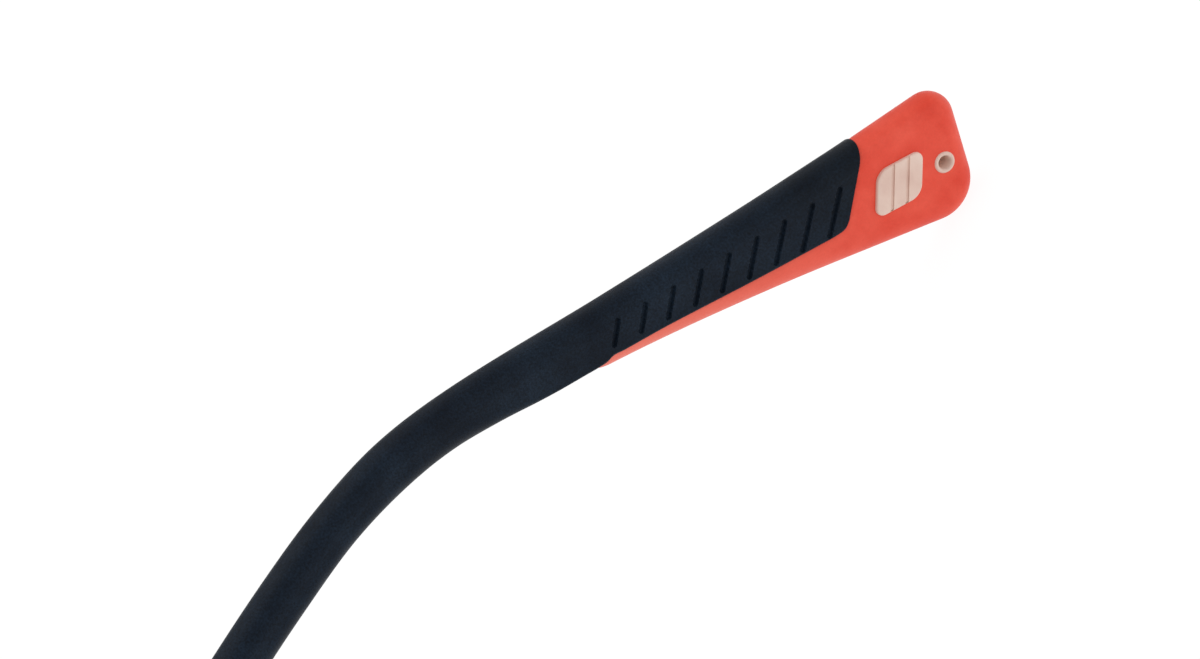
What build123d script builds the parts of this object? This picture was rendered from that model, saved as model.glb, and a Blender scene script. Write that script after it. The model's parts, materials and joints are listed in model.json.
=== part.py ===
"""Flip-up dental loupes: a wrap spectacle frame that carries two magnifying barrels on a hinged bridge mount.

Row frame: +X is the wearer's left, +Y points backward along the temples, +Z is up. The loupes stand on the
plane z = 0, on their temple tips and on the lower edges of their objective bezels. Units are millimetres.
"""

from build123d import *
import os
from math import cos, radians, sin

# ---- driving dimensions ------------------------------------------------------------------------------------
# Where the row frame's origin lies, measured in bridge coordinates (y = 0 is the front of the frame's bridge)
ORIGIN_Y = 63.965

# Front frame: rims cut from a spherical shell
WRAP_RADIUS = 125.0        # outside radius of the frame front
WRAP_CENTRE_Z = 36.0       # height of the sphere's centre; it is above the lenses, so they lean in below
FRAME_THICKNESS = 4.0
LENS_THICKNESS = 2.0
LENS_GROOVE = 0.8          # how far a lens enters its rim
LENS_OUTLINE = [(13.0, 33.0), (19.0, 40.0), (32.0, 43.2), (48.0, 43.6), (60.5, 41.2), (66.0, 34.0),
                (65.0, 24.0), (58.5, 12.5), (46.5, 4.8), (32.0, 3.4), (20.5, 8.0), (15.0, 17.0), (12.6, 25.5)]
LENS_CENTRE = (39.0, 24.0)
FRONT_EDGE_R = 1.1         # rounding of the front's outer edges
OPENING_EDGE_R = 0.5       # rounding of the lens openings' edges
OPENING_MARGIN = 0.3       # edges this close to a lens opening belong to it
# Left half of the front's outline, from the bridge's top round to its underside
FRONT_OUTLINE = [(0.0, 42.0), (12.0, 42.6), (28.0, 45.9), (46.0, 46.7), (61.0, 44.8), (70.6, 42.0),
                 (72.8, 36.4), (70.4, 28.6), (67.0, 20.0), (60.0, 9.6), (47.5, 2.0), (31.5, 0.7), (18.2, 5.9),
                 (12.3, 15.8), (9.6, 24.4), (5.6, 29.6)]
BRIDGE_UNDERSIDE = (0.0, 31.0)

# Seat on the frame's bridge, and the screws that hold the mount to it
SEAT_X = (-9.2, 9.2)
SEAT_BACK_Y = 4.6
SEAT_Z = (31.6, 43.4)
BRIDGE_SCREW_X = 6.1
BRIDGE_SCREW_Z = 33.6
BRIDGE_SCREW_END_Y = 3.2
BRIDGE_SCREW_R = 0.8
BRIDGE_HEAD_R = 1.5
BRIDGE_HEAD_DEPTH = 1.4
BRIDGE_HEAD_SUNK = 0.2     # how far the head's face lies below the mount's
SCREW_SLOT_HALF = 0.2      # half width of every screwdriver slot

# Temple hinges
HINGE_X = 70.0
HINGE_Y = 31.0
TEMPLE_AXIS_Z = 36.30      # height of the straight part of the temple
TEMPLE_YAW = 5.0           # degrees that each temple leans inward
KNUCKLE_R = 2.6
KNUCKLE_HALF = 3.0         # half height of the temple's middle knuckle
HINGE_GAP = 0.1
HINGE_PIN_R = 0.8
HINGE_HEAD_R = 1.7
HINGE_HEAD_HEIGHT = 0.7
HINGE_HEAD_EDGE_R = 0.3
HINGE_WEB_LENGTH = 7.0
KNUCKLE_ROOM = 0.6         # room round the temple's knuckle when it turns
LUG_HALF_HEIGHT = 6.2

# Nose pads
PAD_CENTRE = (10.6, 13.2, 20.6)
PAD_RADII = (3.7, 6.6)
PAD_THICKNESS = 2.0
PAD_EDGE_R = 0.85
PAD_BOSS_R = 1.9
PAD_BOSS_REACH = (-3.9, -1.3)
PAD_BACK = 2.4             # from the pad's face back to its ball socket
PAD_BALL_R = 0.9
PAD_SOCKET_GAP = 0.08
PAD_MOUTH_R = (0.75, 1.45)
PAD_MOUTH_DEPTH = 2.0
PAD_MOUTH_OFFSET = 1.3     # from the socket's centre to the middle of its mouth
PAD_ARM_R = 0.5
PAD_ARM_BEND_R = 1.1
PAD_ARM_ROOT = (9.6, 2.6, 30.0)
PAD_ARM_ELBOW_Z = 27.0
PAD_ARM_STRAIGHT = 2.6     # straight end of the wire behind the ball

# Temple, in its own plane: s runs back from the hinge axis, t runs up from the temple's axis
TEMPLE_HALF_WIDTH = 1.95
SLEEVE_START = 44.0
SLEEVE_HALF_HEIGHT = 2.12
EDGE_ROUNDING = 1.85
UPPER_EDGE = [(62.0, 2.12), (72.0, 1.95), (80.0, 1.32), (87.5, -0.28), (95.0, -3.68), (108.0, -11.36),
              (120.0, -18.24), (128.0, -22.66)]
LOWER_EDGE = [(62.0, -2.12), (72.0, -2.33), (80.0, -2.96), (87.5, -5.02), (95.0, -9.22), (106.0, -16.95),
              (116.0, -24.80), (126.0, -33.30)]
TIP_TOP_CORNER = (138.1, -28.1)
TIP_LOW_CORNER = (131.29, -37.86)
TIP_TOP_RADIUS = 2.1
TIP_LOW_RADIUS = 3.3
TIP_REACH = 145.0          # past the end of the tip
TONGUE_HALF_WIDTH = 0.7
CORE_WIRE_R = 0.7
CORE_WIRE_IN_ARM = 14.0
CORE_WIRE_BEND_R = 18.0
BADGE_CENTRE = (128.9, -28.8)
BADGE_SIZE = (4.6, 3.9)
BADGE_LEAN = 0.7           # how far the badge's long sides shift
BADGE_CORNER_R = 1.0
BADGE_TURN = -34.0
BADGE_SUNK = 0.6
BADGE_PROUD = 0.2
EYELET_CENTRE = (132.5, -31.6)
EYELET_R = 0.95
EYELET_BORE_R = 0.6
ARM_START = 3.5
ARM_WAIST = 18.0           # where the arm's broad front end begins to narrow
ARM_HALF_HEIGHTS = (6.0, 5.6, 2.9)
ARM_EDGE = 0.7             # width of the arm's chamfers
WEB_LENGTH = 5.0
WEB_HALF_WIDTH = 1.6
INLAY_S = (9.0, 38.0)
INLAY_HALF_HEIGHTS = (1.0, 0.5)
INLAY_SUNK = 0.5
INLAY_PROUD = 0.05

# Bridge mount and height slide
MOUNT_HALF_WIDTH = 8.0
MOUNT_BACK_Y = -0.8
MOUNT_FRONT_Y = -8.0
MOUNT_Z = (31.5, 43.8)
SLOT_STEM = 3.0            # half width of the T-slot's mouth
SLOT_WING = 4.3            # half width of the T-slot's undercut
SLOT_BACK_Y = -4.4
SLOT_STEP_Y = -6.2
SLIDE_GAP = 0.08
SLIDER_Z = (33.4, 42.0)
LIGHT_SOCKET_R = 0.8
LIGHT_SOCKET_DEPTH = 5.0
MOUNT_EDGE_R = 1.5
SLIDER_PLATE_Y = (-10.0, -8.08)
SLIDER_PLATE_EDGE_R = 1.2
HEIGHT_KNOB_Z = 38.6
HEIGHT_KNOB_R = 3.0
HEIGHT_KNOB_X = (8.3, 12.3)
HEIGHT_SHANK_R = 0.8

# Flip hinge
FLIP_Y = -11.6
FLIP_Z = 45.6
FLIP_EAR_R = 3.0
FLIP_EAR_X = (3.7, 5.5)    # inner and outer face of each ear
FLIP_EAR_TOP = 1.8         # height of the ears' square part above the axle
FLIP_PIN_R = 1.25
FLIP_HEAD_R = 2.1
FLIP_HEAD_EDGE_R = 0.6
FLIP_HEAD_REACH = (0.4, 1.6)
WASHER_R = 2.4
WASHER_THICKNESS = 0.4
KNUCKLE_SIDE_GAP = 0.15
RUNNING_GAP = 0.05

# Flip arm and its finger lever
ARM_NECK_FRONT_Y = -17.6
ARM_NECK_Z = (40.0, 48.0)
ARM_NECK_EDGE_R = 2.4
CENTRE_HALF_WIDTH = 8.0
STUB = ((-2.2, 2.2), (-21.0, -15.0), (45.2, 46.8))
GRIP = ((-5.0, 5.0), (-26.0, -18.6), (44.6, 47.4))
GRIP_CORNER_R = 2.2
GRIP_EDGE_R = 0.8

# Crossbar
ROD_Y = -16.4
GUIDE_ROD_Z = 41.2
SPINDLE_Z = 37.6
ROD_R = 1.2
END_PLATE_X = (41.9, 43.7)
KNOB_X = (44.1, 48.9)
KNOB_R = 4.2
KNOB_EDGE = 0.4
FLUTE_SHARE = 0.11         # a flute's radius as a share of its knob's
CARRIER_HALF_WIDTH = 6.0
CARRIER_Z = (34.7, 43.4)
CARRIER_EDGE_R = 1.5
CARRIER_CORNER = 0.8
BAR_Y = (-19.6, -13.2)
BAR_EDGE_R = 1.6
END_PLATE_TOP = 43.6
END_PLATE_EDGE_R = 2.2

# Barrels, in their own frame: w runs from the eyepiece towards the work
PUPIL_X = 32.0
EYEPIECE_Y = -6.0
DECLINATION = 22.0
TOE_IN = 4.5
OBJECTIVE_R = 13.6
NECK_R = 9.9
NECK_BORE_R = 8.3
NECK_END_W = 11.5
CONE_END_W = 20.5
SEAT_R = 12.9
SEAT_END_W = 24.0          # where the shell ends inside the bezel
BEZEL_END_W = 31.0
BUMPER_W = 3.0
BUMPER_LIP = 0.8
EYE_RING_R = 9.0
GLASS_R = 12.3             # objective lens
GLASS_W = (24.4, 29.2)
OBJECTIVE_CROWN_R = 40.0
EYE_LENS_R = 7.6
EYE_LENS_W = (1.2, 3.6)
EYE_LENS_HOLLOW_R = 30.0
EYE_LENS_HOLLOW = 0.7      # depth of the rear lens's hollow
CLAMP_R = 11.3
CLAMP_W = (4.6, 10.4)
CLAMP_BOSS_R = 3.6
CLAMP_BOSS_LOW_Z = 26.0
PIVOT_R = 1.1
PIVOT_SUNK = 1.5           # how far the pivot pin enters the carrier
PIVOT_REACH = 2.6          # how far it reaches into the clamp's boss
PIVOT_GAP = 0.15
LOW_EDGE_W = 30.6          # where the bezel's widest part ends, and the loupes touch the desk
EYEPIECE_Z = LOW_EDGE_W * sin(radians(DECLINATION)) + OBJECTIVE_R * cos(radians(DECLINATION))

# ---- frames of reference -----------------------------------------------------------------------------------
YAW = radians(TEMPLE_YAW)
TEMPLE_PLANE = Plane(
    origin=(HINGE_X, HINGE_Y, TEMPLE_AXIS_Z), x_dir=(-sin(YAW), cos(YAW), 0), z_dir=(cos(YAW), sin(YAW), 0)
)
FRONT_PLANE = Plane(origin=(0, -10, 0), x_dir=(1, 0, 0), z_dir=(0, -1, 0))
FRONT_DEPTH = 60.0
AIM = (
    -sin(radians(TOE_IN)) * cos(radians(DECLINATION)),
    -cos(radians(TOE_IN)) * cos(radians(DECLINATION)),
    -sin(radians(DECLINATION)),
)
BARREL_SIDEWAYS = (cos(radians(TOE_IN)), -sin(radians(TOE_IN)), 0)
BARREL_PLANE = Plane(origin=(PUPIL_X, EYEPIECE_Y, EYEPIECE_Z), x_dir=BARREL_SIDEWAYS, z_dir=AIM)
CLAMP_MID = sum(CLAMP_W) / 2
CARRIER_X = PUPIL_X + AIM[0] * CLAMP_MID
HEIGHT_KNOB_Y = (SLOT_BACK_Y + SLOT_STEP_Y) / 2
THROUGH_X = (-10.0, 10.0)  # long enough to bore through the middle pieces


# ---- small helpers -----------------------------------------------------------------------------------------
def block(x, y, z):
    """A box from its ranges along X, Y and Z."""
    size = [b - a for a, b in (x, y, z)]
    middle = [(a + b) / 2 for a, b in (x, y, z)]
    return Pos(*middle) * Box(*size)


def rod_x(x, y, z, radius):
    """A cylinder along X over the range x."""
    return Pos((x[0] + x[1]) / 2, y, z) * Rot(0, 90, 0) * Cylinder(radius, x[1] - x[0])


def rod_y(x, y, z, radius):
    """A cylinder along Y over the range y."""
    return Pos(x, (y[0] + y[1]) / 2, z) * Rot(90, 0, 0) * Cylinder(radius, y[1] - y[0])


def rod_z(x, y, z, radius):
    """A cylinder along Z over the range z."""
    return Pos(x, y, (z[0] + z[1]) / 2) * Cylinder(radius, z[1] - z[0])


def disc(w, radius):
    """A cylinder on a barrel's axis, over the range w."""
    return BARREL_PLANE.location * Pos(0, 0, (w[0] + w[1]) / 2) * Cylinder(radius, w[1] - w[0])


def rounded_polygon(corners):
    """A face from (x, y, radius) corners."""
    outline = make_face(Polyline(*[(x, y) for x, y, _ in corners], close=True).edges())
    for x, y, radius in corners:
        if radius:
            outline = fillet(outline.vertices().sort_by_distance((x, y, 0))[0], radius)
    return outline


def slab(face, plane, low, high):
    """A plane's face made into a solid between two offsets along the plane's normal."""
    return extrude(plane.offset(low) * face, high - low)


def kept(shape):
    """A left-hand piece as it stands."""
    return shape


def mirrored(shape):
    """The wearer's right-hand copy of a left-hand piece."""
    return mirror(shape, about=Plane.YZ)


# ---- front frame -------------------------------------------------------------------------------------------
def wrap_shell(depth, thickness):
    """A spherical shell that lies depth behind the frame's outer surface."""
    centre = Pos(0, WRAP_RADIUS, WRAP_CENTRE_Z)
    return centre * Sphere(WRAP_RADIUS - depth) - centre * Sphere(WRAP_RADIUS - depth - thickness)


def through_front(face):
    """A front-view face made into a bar that runs through the whole front."""
    return extrude(FRONT_PLANE * face, -FRONT_DEPTH)


def lens_face(grow):
    """The left lens outline, its points moved outward from the lens centre by the given margin."""
    centre = Vector(*LENS_CENTRE)
    points = [Vector(*point) for point in LENS_OUTLINE]
    return make_face(Spline(*[p + (p - centre).normalized() * grow for p in points], periodic=True))


def front_face():
    """Outline of the whole front: both rims, the bridge and the end pieces."""
    left = FRONT_OUTLINE + [BRIDGE_UNDERSIDE]
    right = [(-x, z) for x, z in FRONT_OUTLINE[1:]]
    return make_face(Spline(*left, *right[::-1], periodic=True))


def wrap_lens():
    """The left lens: clear wrap shell that fills the rim's groove."""
    depth = (FRAME_THICKNESS - LENS_THICKNESS) / 2
    return through_front(lens_face(LENS_GROOVE)) & wrap_shell(depth, LENS_THICKNESS)


def hinge_lug():
    """The frame's upper and lower hinge knuckles, and the web behind the end piece."""
    lug_z = (TEMPLE_AXIS_Z - LUG_HALF_HEIGHT, TEMPLE_AXIS_Z + LUG_HALF_HEIGHT)
    web = block((HINGE_X - KNUCKLE_R, HINGE_X + KNUCKLE_R), (HINGE_Y - HINGE_WEB_LENGTH, HINGE_Y), lug_z)
    lug = web + rod_z(HINGE_X, HINGE_Y, lug_z, KNUCKLE_R)
    return lug - rod_z(HINGE_X, HINGE_Y, lug_z, HINGE_PIN_R)


def hinge_gap():
    """Room between the frame's knuckles for the temple's."""
    gap_z = (TEMPLE_AXIS_Z - KNUCKLE_HALF - HINGE_GAP, TEMPLE_AXIS_Z + KNUCKLE_HALF + HINGE_GAP)
    return rod_z(HINGE_X, HINGE_Y, gap_z, KNUCKLE_R + KNUCKLE_ROOM)


def front_frame():
    """One-piece wrap front: two rims, bridge, mount seat and hinge lugs."""
    front = through_front(front_face()) & wrap_shell(0, FRAME_THICKNESS)
    front = fillet(front.edges(), FRONT_EDGE_R)
    opening = through_front(lens_face(0))
    near_opening = through_front(lens_face(OPENING_MARGIN))
    for side in (kept, mirrored):
        front -= side(opening)
        front = fillet([e for e in front.edges() if side(near_opening).is_inside(e @ 0.5)], OPENING_EDGE_R)
    front += block(SEAT_X, (MOUNT_BACK_Y, SEAT_BACK_Y), SEAT_Z)
    lens = wrap_lens()
    lug = hinge_lug()
    arm = nose_pad_arm()
    for side in (kept, mirrored):
        front -= side(lens)
        front += side(lug)
        front -= side(hinge_gap())
        front -= side(arm)
    for x in (-BRIDGE_SCREW_X, BRIDGE_SCREW_X):
        front -= rod_y(x, (MOUNT_BACK_Y, BRIDGE_SCREW_END_Y), BRIDGE_SCREW_Z, BRIDGE_SCREW_R)
    return front


def hinge_screw():
    """Slotted screw that holds a temple's knuckle between the frame's two."""
    top = TEMPLE_AXIS_Z + LUG_HALF_HEIGHT
    bottom = TEMPLE_AXIS_Z - LUG_HALF_HEIGHT
    screw = rod_z(HINGE_X, HINGE_Y, (bottom, top), HINGE_PIN_R)
    head = rod_z(HINGE_X, HINGE_Y, (top, top + HINGE_HEAD_HEIGHT), HINGE_HEAD_R)
    head = fillet(head.edges().sort_by(Axis.Z)[-1], HINGE_HEAD_EDGE_R)
    slot_y = (HINGE_Y - SCREW_SLOT_HALF, HINGE_Y + SCREW_SLOT_HALF)
    slot_z = (top + HINGE_HEAD_HEIGHT / 2, top + 2 * HINGE_HEAD_HEIGHT)
    slot = block((HINGE_X - 2 * HINGE_HEAD_R, HINGE_X + 2 * HINGE_HEAD_R), slot_y, slot_z)
    return screw + head - slot


# ---- nose pads ---------------------------------------------------------------------------------------------
PAD_PLANE = Plane(origin=PAD_CENTRE, x_dir=(0.45, -0.62, 0.0), z_dir=(-0.80, 0.58, -0.16))


def nose_pad():
    """Left silicone pad: a crowned oval with a ball socket in its back."""
    pad = extrude(Plane(PAD_PLANE.location) * Ellipse(*PAD_RADII), -PAD_THICKNESS)
    pad = fillet(pad.edges(), PAD_EDGE_R)
    boss_low, boss_high = PAD_BOSS_REACH
    boss = Pos(0, 0, (boss_low + boss_high) / 2) * Cylinder(PAD_BOSS_R, boss_high - boss_low)
    socket = Pos(0, 0, -PAD_BACK) * Sphere(PAD_BALL_R + PAD_SOCKET_GAP)
    mouth = Pos(0, 0, -PAD_BACK - PAD_MOUTH_OFFSET) * Rot(180, 0, 0) * Cone(*PAD_MOUTH_R, PAD_MOUTH_DEPTH)
    boss, socket, mouth = (PAD_PLANE.location * piece for piece in (boss, socket, mouth))
    return pad + boss - socket - mouth


def nose_pad_arm():
    """Left pad arm: a bent steel wire from the rim to the pad, with a ball on its end."""
    ball = PAD_PLANE.location * Pos(0, 0, -PAD_BACK)
    tip = Vector(*ball.position)
    near = tip - PAD_PLANE.z_dir * PAD_ARM_STRAIGHT
    elbow = Vector(near.X + 0.3, near.Y - 0.6, PAD_ARM_ELBOW_Z)
    path = FilletPolyline(Vector(*PAD_ARM_ROOT), elbow, near, tip, radius=PAD_ARM_BEND_R)
    wire = sweep(Plane(origin=path @ 0, z_dir=path % 0) * Circle(PAD_ARM_R), path=path)
    return wire + ball * Sphere(PAD_BALL_R)


# ---- temples -----------------------------------------------------------------------------------------------
def temple_outline():
    """Side view of the sleeve and tip together."""
    tip_slope = Vector(*TIP_TOP_CORNER) - Vector(*UPPER_EDGE[-1])
    low_slope = Vector(*TIP_LOW_CORNER) - Vector(*LOWER_EDGE[-1])
    edges = [
        Line((SLEEVE_START, SLEEVE_HALF_HEIGHT), UPPER_EDGE[0]),
        Spline(*UPPER_EDGE, tangents=[(1, 0), tip_slope]),
        Line(UPPER_EDGE[-1], TIP_TOP_CORNER),
        Line(TIP_TOP_CORNER, TIP_LOW_CORNER),
        Line(TIP_LOW_CORNER, LOWER_EDGE[-1]),
        Spline(*LOWER_EDGE[::-1], tangents=[-low_slope, (-1, 0)]),
        Line(LOWER_EDGE[0], (SLEEVE_START, -SLEEVE_HALF_HEIGHT)),
        Line((SLEEVE_START, -SLEEVE_HALF_HEIGHT), (SLEEVE_START, SLEEVE_HALF_HEIGHT)),
    ]
    outline = make_face(edges)
    for corner, radius in ((TIP_TOP_CORNER, TIP_TOP_RADIUS), (TIP_LOW_CORNER, TIP_LOW_RADIUS)):
        outline = fillet(outline.vertices().sort_by_distance((*corner, 0))[0], radius)
    return outline


def tip_region():
    """Side view of everything that the sleeve leaves bare: the strip below its edge, and the tip."""
    return rounded_polygon([
        (102.4, -15.6, 0), (104.5, -14.15, 0.8), (122.9, -27.0, 0.9), (128.9, -24.15, 1.2), (130.3, -21.0, 0),
        (TIP_REACH, -20.5, 0), (TIP_REACH, -45.0, 0), (100.0, -45.0, 0),
    ])


def temple_body():
    """Sleeve and tip as one rounded bar, before they are parted."""
    bar = slab(temple_outline(), TEMPLE_PLANE, -TEMPLE_HALF_WIDTH, TEMPLE_HALF_WIDTH)
    faces = [f for f in bar.faces() if abs(f.normal_at().dot(TEMPLE_PLANE.z_dir)) > 0.99 and f.area > 100]
    rims = [e for f in faces for e in f.edges()
            if abs((TEMPLE_PLANE.to_local_coords(e.center())).X - SLEEVE_START) > 0.5]
    return fillet(rims, EDGE_ROUNDING)


def core_path():
    """Line of the bendable core wire, in the temple's plane."""
    start = (SLEEVE_START - CORE_WIRE_IN_ARM, 0.0)
    return FilletPolyline(start, (84.5, -0.35), (100.0, -10.2), radius=CORE_WIRE_BEND_R)


def core_wire():
    """Steel wire that runs from the arm through the sleeve, and lets the wearer bend the temple."""
    path = TEMPLE_PLANE.location * core_path()
    return sweep(Plane(origin=path @ 0, z_dir=path % 0) * Circle(CORE_WIRE_R), path=path)


def tongue():
    """The tip's thin blade, buried in the sleeve."""
    face = rounded_polygon([(105.0, -12.4, 0.4), (124.0, -23.6, 0), (128.0, -25.2, 0), (124.0, -27.4, 0),
                            (121.0, -25.0, 0), (105.6, -14.2, 0.4)])
    return slab(face, TEMPLE_PLANE, -TONGUE_HALF_WIDTH, TONGUE_HALF_WIDTH)


def eyelet_hole(radius):
    """A bar through the tip at the eyelet."""
    reach = TEMPLE_HALF_WIDTH + 1
    return slab(Pos(*EYELET_CENTRE) * Circle(radius), TEMPLE_PLANE, -reach, reach)


def tip_badge():
    """Plain raised lozenge let into the tip's outer face."""
    half, high = BADGE_SIZE[0] / 2, BADGE_SIZE[1] / 2
    corners = [(-half - BADGE_LEAN, -high), (half - BADGE_LEAN, -high), (half + BADGE_LEAN, high),
               (-half + BADGE_LEAN, high)]
    face = rounded_polygon([(x, y, BADGE_CORNER_R) for x, y in corners])
    face = Pos(*BADGE_CENTRE) * Rot(0, 0, BADGE_TURN) * face
    return slab(face, TEMPLE_PLANE, TEMPLE_HALF_WIDTH - BADGE_SUNK, TEMPLE_HALF_WIDTH + BADGE_PROUD)


def tip_eyelet():
    """Bush that lines the retaining cord's hole."""
    face = Pos(*EYELET_CENTRE) * (Circle(EYELET_R) - Circle(EYELET_BORE_R))
    return slab(face, TEMPLE_PLANE, -TEMPLE_HALF_WIDTH, TEMPLE_HALF_WIDTH)


def temple_arm():
    """Hard front half of the temple, with its hinge knuckle and the bore that holds the core wire."""
    front, waist, back = ARM_HALF_HEIGHTS
    face = rounded_polygon([(ARM_START, front, 1.2), (ARM_WAIST, waist, 12.0), (SLEEVE_START, back, 0),
                            (SLEEVE_START, -back, 0), (ARM_WAIST, -waist, 12.0), (ARM_START, -front, 1.2)])
    bar = slab(face, TEMPLE_PLANE, -TEMPLE_HALF_WIDTH, TEMPLE_HALF_WIDTH)
    long_edges = []
    for edge in bar.edges():
        middle = TEMPLE_PLANE.to_local_coords(edge.center())
        if abs(middle.Z) > TEMPLE_HALF_WIDTH - 0.05 and ARM_START + 0.1 < middle.X < SLEEVE_START - 0.2:
            long_edges.append(edge)
    bar = chamfer(long_edges, ARM_EDGE)
    knuckle_z = (TEMPLE_AXIS_Z - KNUCKLE_HALF, TEMPLE_AXIS_Z + KNUCKLE_HALF)
    knuckle = rod_z(HINGE_X, HINGE_Y, knuckle_z, KNUCKLE_R)
    web = slab(Pos(WEB_LENGTH / 2, 0) * Rectangle(WEB_LENGTH, 2 * KNUCKLE_HALF), TEMPLE_PLANE,
               -WEB_HALF_WIDTH, WEB_HALF_WIDTH)
    arm = bar + web + knuckle - rod_z(HINGE_X, HINGE_Y, knuckle_z, HINGE_PIN_R + RUNNING_GAP)
    return arm - core_wire() - arm_inlay()


def arm_inlay():
    """Coloured strip let into the arm's outer face."""
    start, end = INLAY_S
    front, back = INLAY_HALF_HEIGHTS
    face = rounded_polygon([(start, -front, 0.45), (start, front, 0.45), (end, back, 0.4), (end, -back, 0.4)])
    return slab(face, TEMPLE_PLANE, TEMPLE_HALF_WIDTH - INLAY_SUNK, TEMPLE_HALF_WIDTH + INLAY_PROUD)


def temple_parts():
    """Every piece of the left temple, by name."""
    body = temple_body()
    bare = slab(tip_region(), TEMPLE_PLANE, -5, 5)
    blade = tongue()
    badge = tip_badge()
    tip = (body & bare) + (blade & body) - eyelet_hole(EYELET_R) - badge
    sleeve = body - bare - blade - core_wire()
    return {
        "temple_arm": temple_arm(), "arm_inlay": arm_inlay(), "temple_core": core_wire(),
        "temple_sleeve": sleeve, "tip_core": tip, "tip_badge": badge, "tip_eyelet": tip_eyelet(),
    }


# ---- bridge mount, height slide and flip hinge -------------------------------------------------------------
def bridge_mount():
    """Block screwed to the bridge, with a vertical T-slot and a blind screw socket for a lamp."""
    mount = block((-MOUNT_HALF_WIDTH, MOUNT_HALF_WIDTH), (MOUNT_FRONT_Y, MOUNT_BACK_Y), MOUNT_Z)
    mount = fillet(mount.edges().filter_by(Axis.Z).sort_by(Axis.Y)[:2], MOUNT_EDGE_R)
    whole_z = (MOUNT_Z[0] - 1, MOUNT_Z[1] + 1)
    mount -= block((-SLOT_STEM, SLOT_STEM), (MOUNT_FRONT_Y - 1, SLOT_BACK_Y), whole_z)
    mount -= block((-SLOT_WING, SLOT_WING), (SLOT_STEP_Y, SLOT_BACK_Y), whole_z)
    socket_z = (MOUNT_Z[1] - LIGHT_SOCKET_DEPTH, MOUNT_Z[1] + 1)
    mount -= rod_z(0, (SLOT_BACK_Y + MOUNT_BACK_Y) / 2, socket_z, LIGHT_SOCKET_R)
    for x in (-BRIDGE_SCREW_X, BRIDGE_SCREW_X):
        mount -= rod_y(x, (MOUNT_FRONT_Y - 1, MOUNT_BACK_Y), BRIDGE_SCREW_Z, BRIDGE_SCREW_R)
        head_y = (MOUNT_FRONT_Y - 1, MOUNT_FRONT_Y + BRIDGE_HEAD_DEPTH)
        mount -= rod_y(x, head_y, BRIDGE_SCREW_Z, BRIDGE_HEAD_R)
    shank_x = (SLOT_WING - 0.5, MOUNT_HALF_WIDTH + 1)
    return mount - rod_x(shank_x, HEIGHT_KNOB_Y, HEIGHT_KNOB_Z, HEIGHT_SHANK_R + RUNNING_GAP)


def bridge_screws():
    """The two screws that hold the mount to the frame."""
    screws = []
    face_y = MOUNT_FRONT_Y + BRIDGE_HEAD_SUNK
    slot_z = (BRIDGE_SCREW_Z - SCREW_SLOT_HALF, BRIDGE_SCREW_Z + SCREW_SLOT_HALF)
    for x in (-BRIDGE_SCREW_X, BRIDGE_SCREW_X):
        shank = rod_y(x, (face_y + 0.2, BRIDGE_SCREW_END_Y), BRIDGE_SCREW_Z, BRIDGE_SCREW_R)
        head = rod_y(x, (face_y, MOUNT_FRONT_Y + BRIDGE_HEAD_DEPTH), BRIDGE_SCREW_Z, BRIDGE_HEAD_R)
        slot = block((x - 1.1, x + 1.1), (MOUNT_FRONT_Y, MOUNT_FRONT_Y + BRIDGE_HEAD_DEPTH / 2), slot_z)
        screws.append(shank + head - slot)
    return Compound(children=screws)


def height_slider():
    """T-shaped slide with the two ears of the flip hinge."""
    stem_x = (-SLOT_STEM + SLIDE_GAP, SLOT_STEM - SLIDE_GAP)
    wing_x = (-SLOT_WING + SLIDE_GAP, SLOT_WING - SLIDE_GAP)
    stem = block(stem_x, (MOUNT_FRONT_Y - 0.9, SLOT_BACK_Y - SLIDE_GAP), SLIDER_Z)
    wing = block(wing_x, (SLOT_STEP_Y + SLIDE_GAP, SLOT_BACK_Y - SLIDE_GAP), SLIDER_Z)
    plate_z = (SLIDER_Z[0], FLIP_Z + FLIP_EAR_TOP)
    plate = block((-FLIP_EAR_X[1], FLIP_EAR_X[1]), SLIDER_PLATE_Y, plate_z)
    plate = fillet(plate.edges().filter_by(Axis.Y), SLIDER_PLATE_EDGE_R)
    slider = stem + wing + plate
    for side in (-1, 1):
        ear_x = sorted((side * FLIP_EAR_X[0], side * FLIP_EAR_X[1]))
        slider += block(ear_x, (FLIP_Y, MOUNT_FRONT_Y - 1.0), (FLIP_Z - FLIP_EAR_R, plate_z[1]))
        slider += rod_x(ear_x, FLIP_Y, FLIP_Z, FLIP_EAR_R)
    gap_x = (-FLIP_EAR_X[0], FLIP_EAR_X[0])
    slider -= rod_x(gap_x, FLIP_Y, FLIP_Z, FLIP_EAR_R + 0.35)
    return slider - rod_x(THROUGH_X, FLIP_Y, FLIP_Z, FLIP_PIN_R)


def height_knob():
    """Knurled thumb screw that locks the height slide."""
    shank = rod_x((SLOT_WING + 0.1, MOUNT_HALF_WIDTH + 1), HEIGHT_KNOB_Y, HEIGHT_KNOB_Z, HEIGHT_SHANK_R)
    return shank + knurled_knob(HEIGHT_KNOB_X, HEIGHT_KNOB_Y, HEIGHT_KNOB_Z, HEIGHT_KNOB_R, 16)


def knurled_knob(x, y, z, radius, flutes):
    """A round knob along X with small flutes round its rim."""
    knob = rod_x(x, y, z, radius)
    knob = chamfer(knob.edges().filter_by(GeomType.CIRCLE), KNOB_EDGE)
    for k in range(flutes):
        angle = radians(360 * k / flutes)
        at_y, at_z = y + radius * cos(angle), z + radius * sin(angle)
        knob -= rod_x((x[0] - 1, x[1] + 1), at_y, at_z, radius * FLUTE_SHARE)
    return knob


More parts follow.
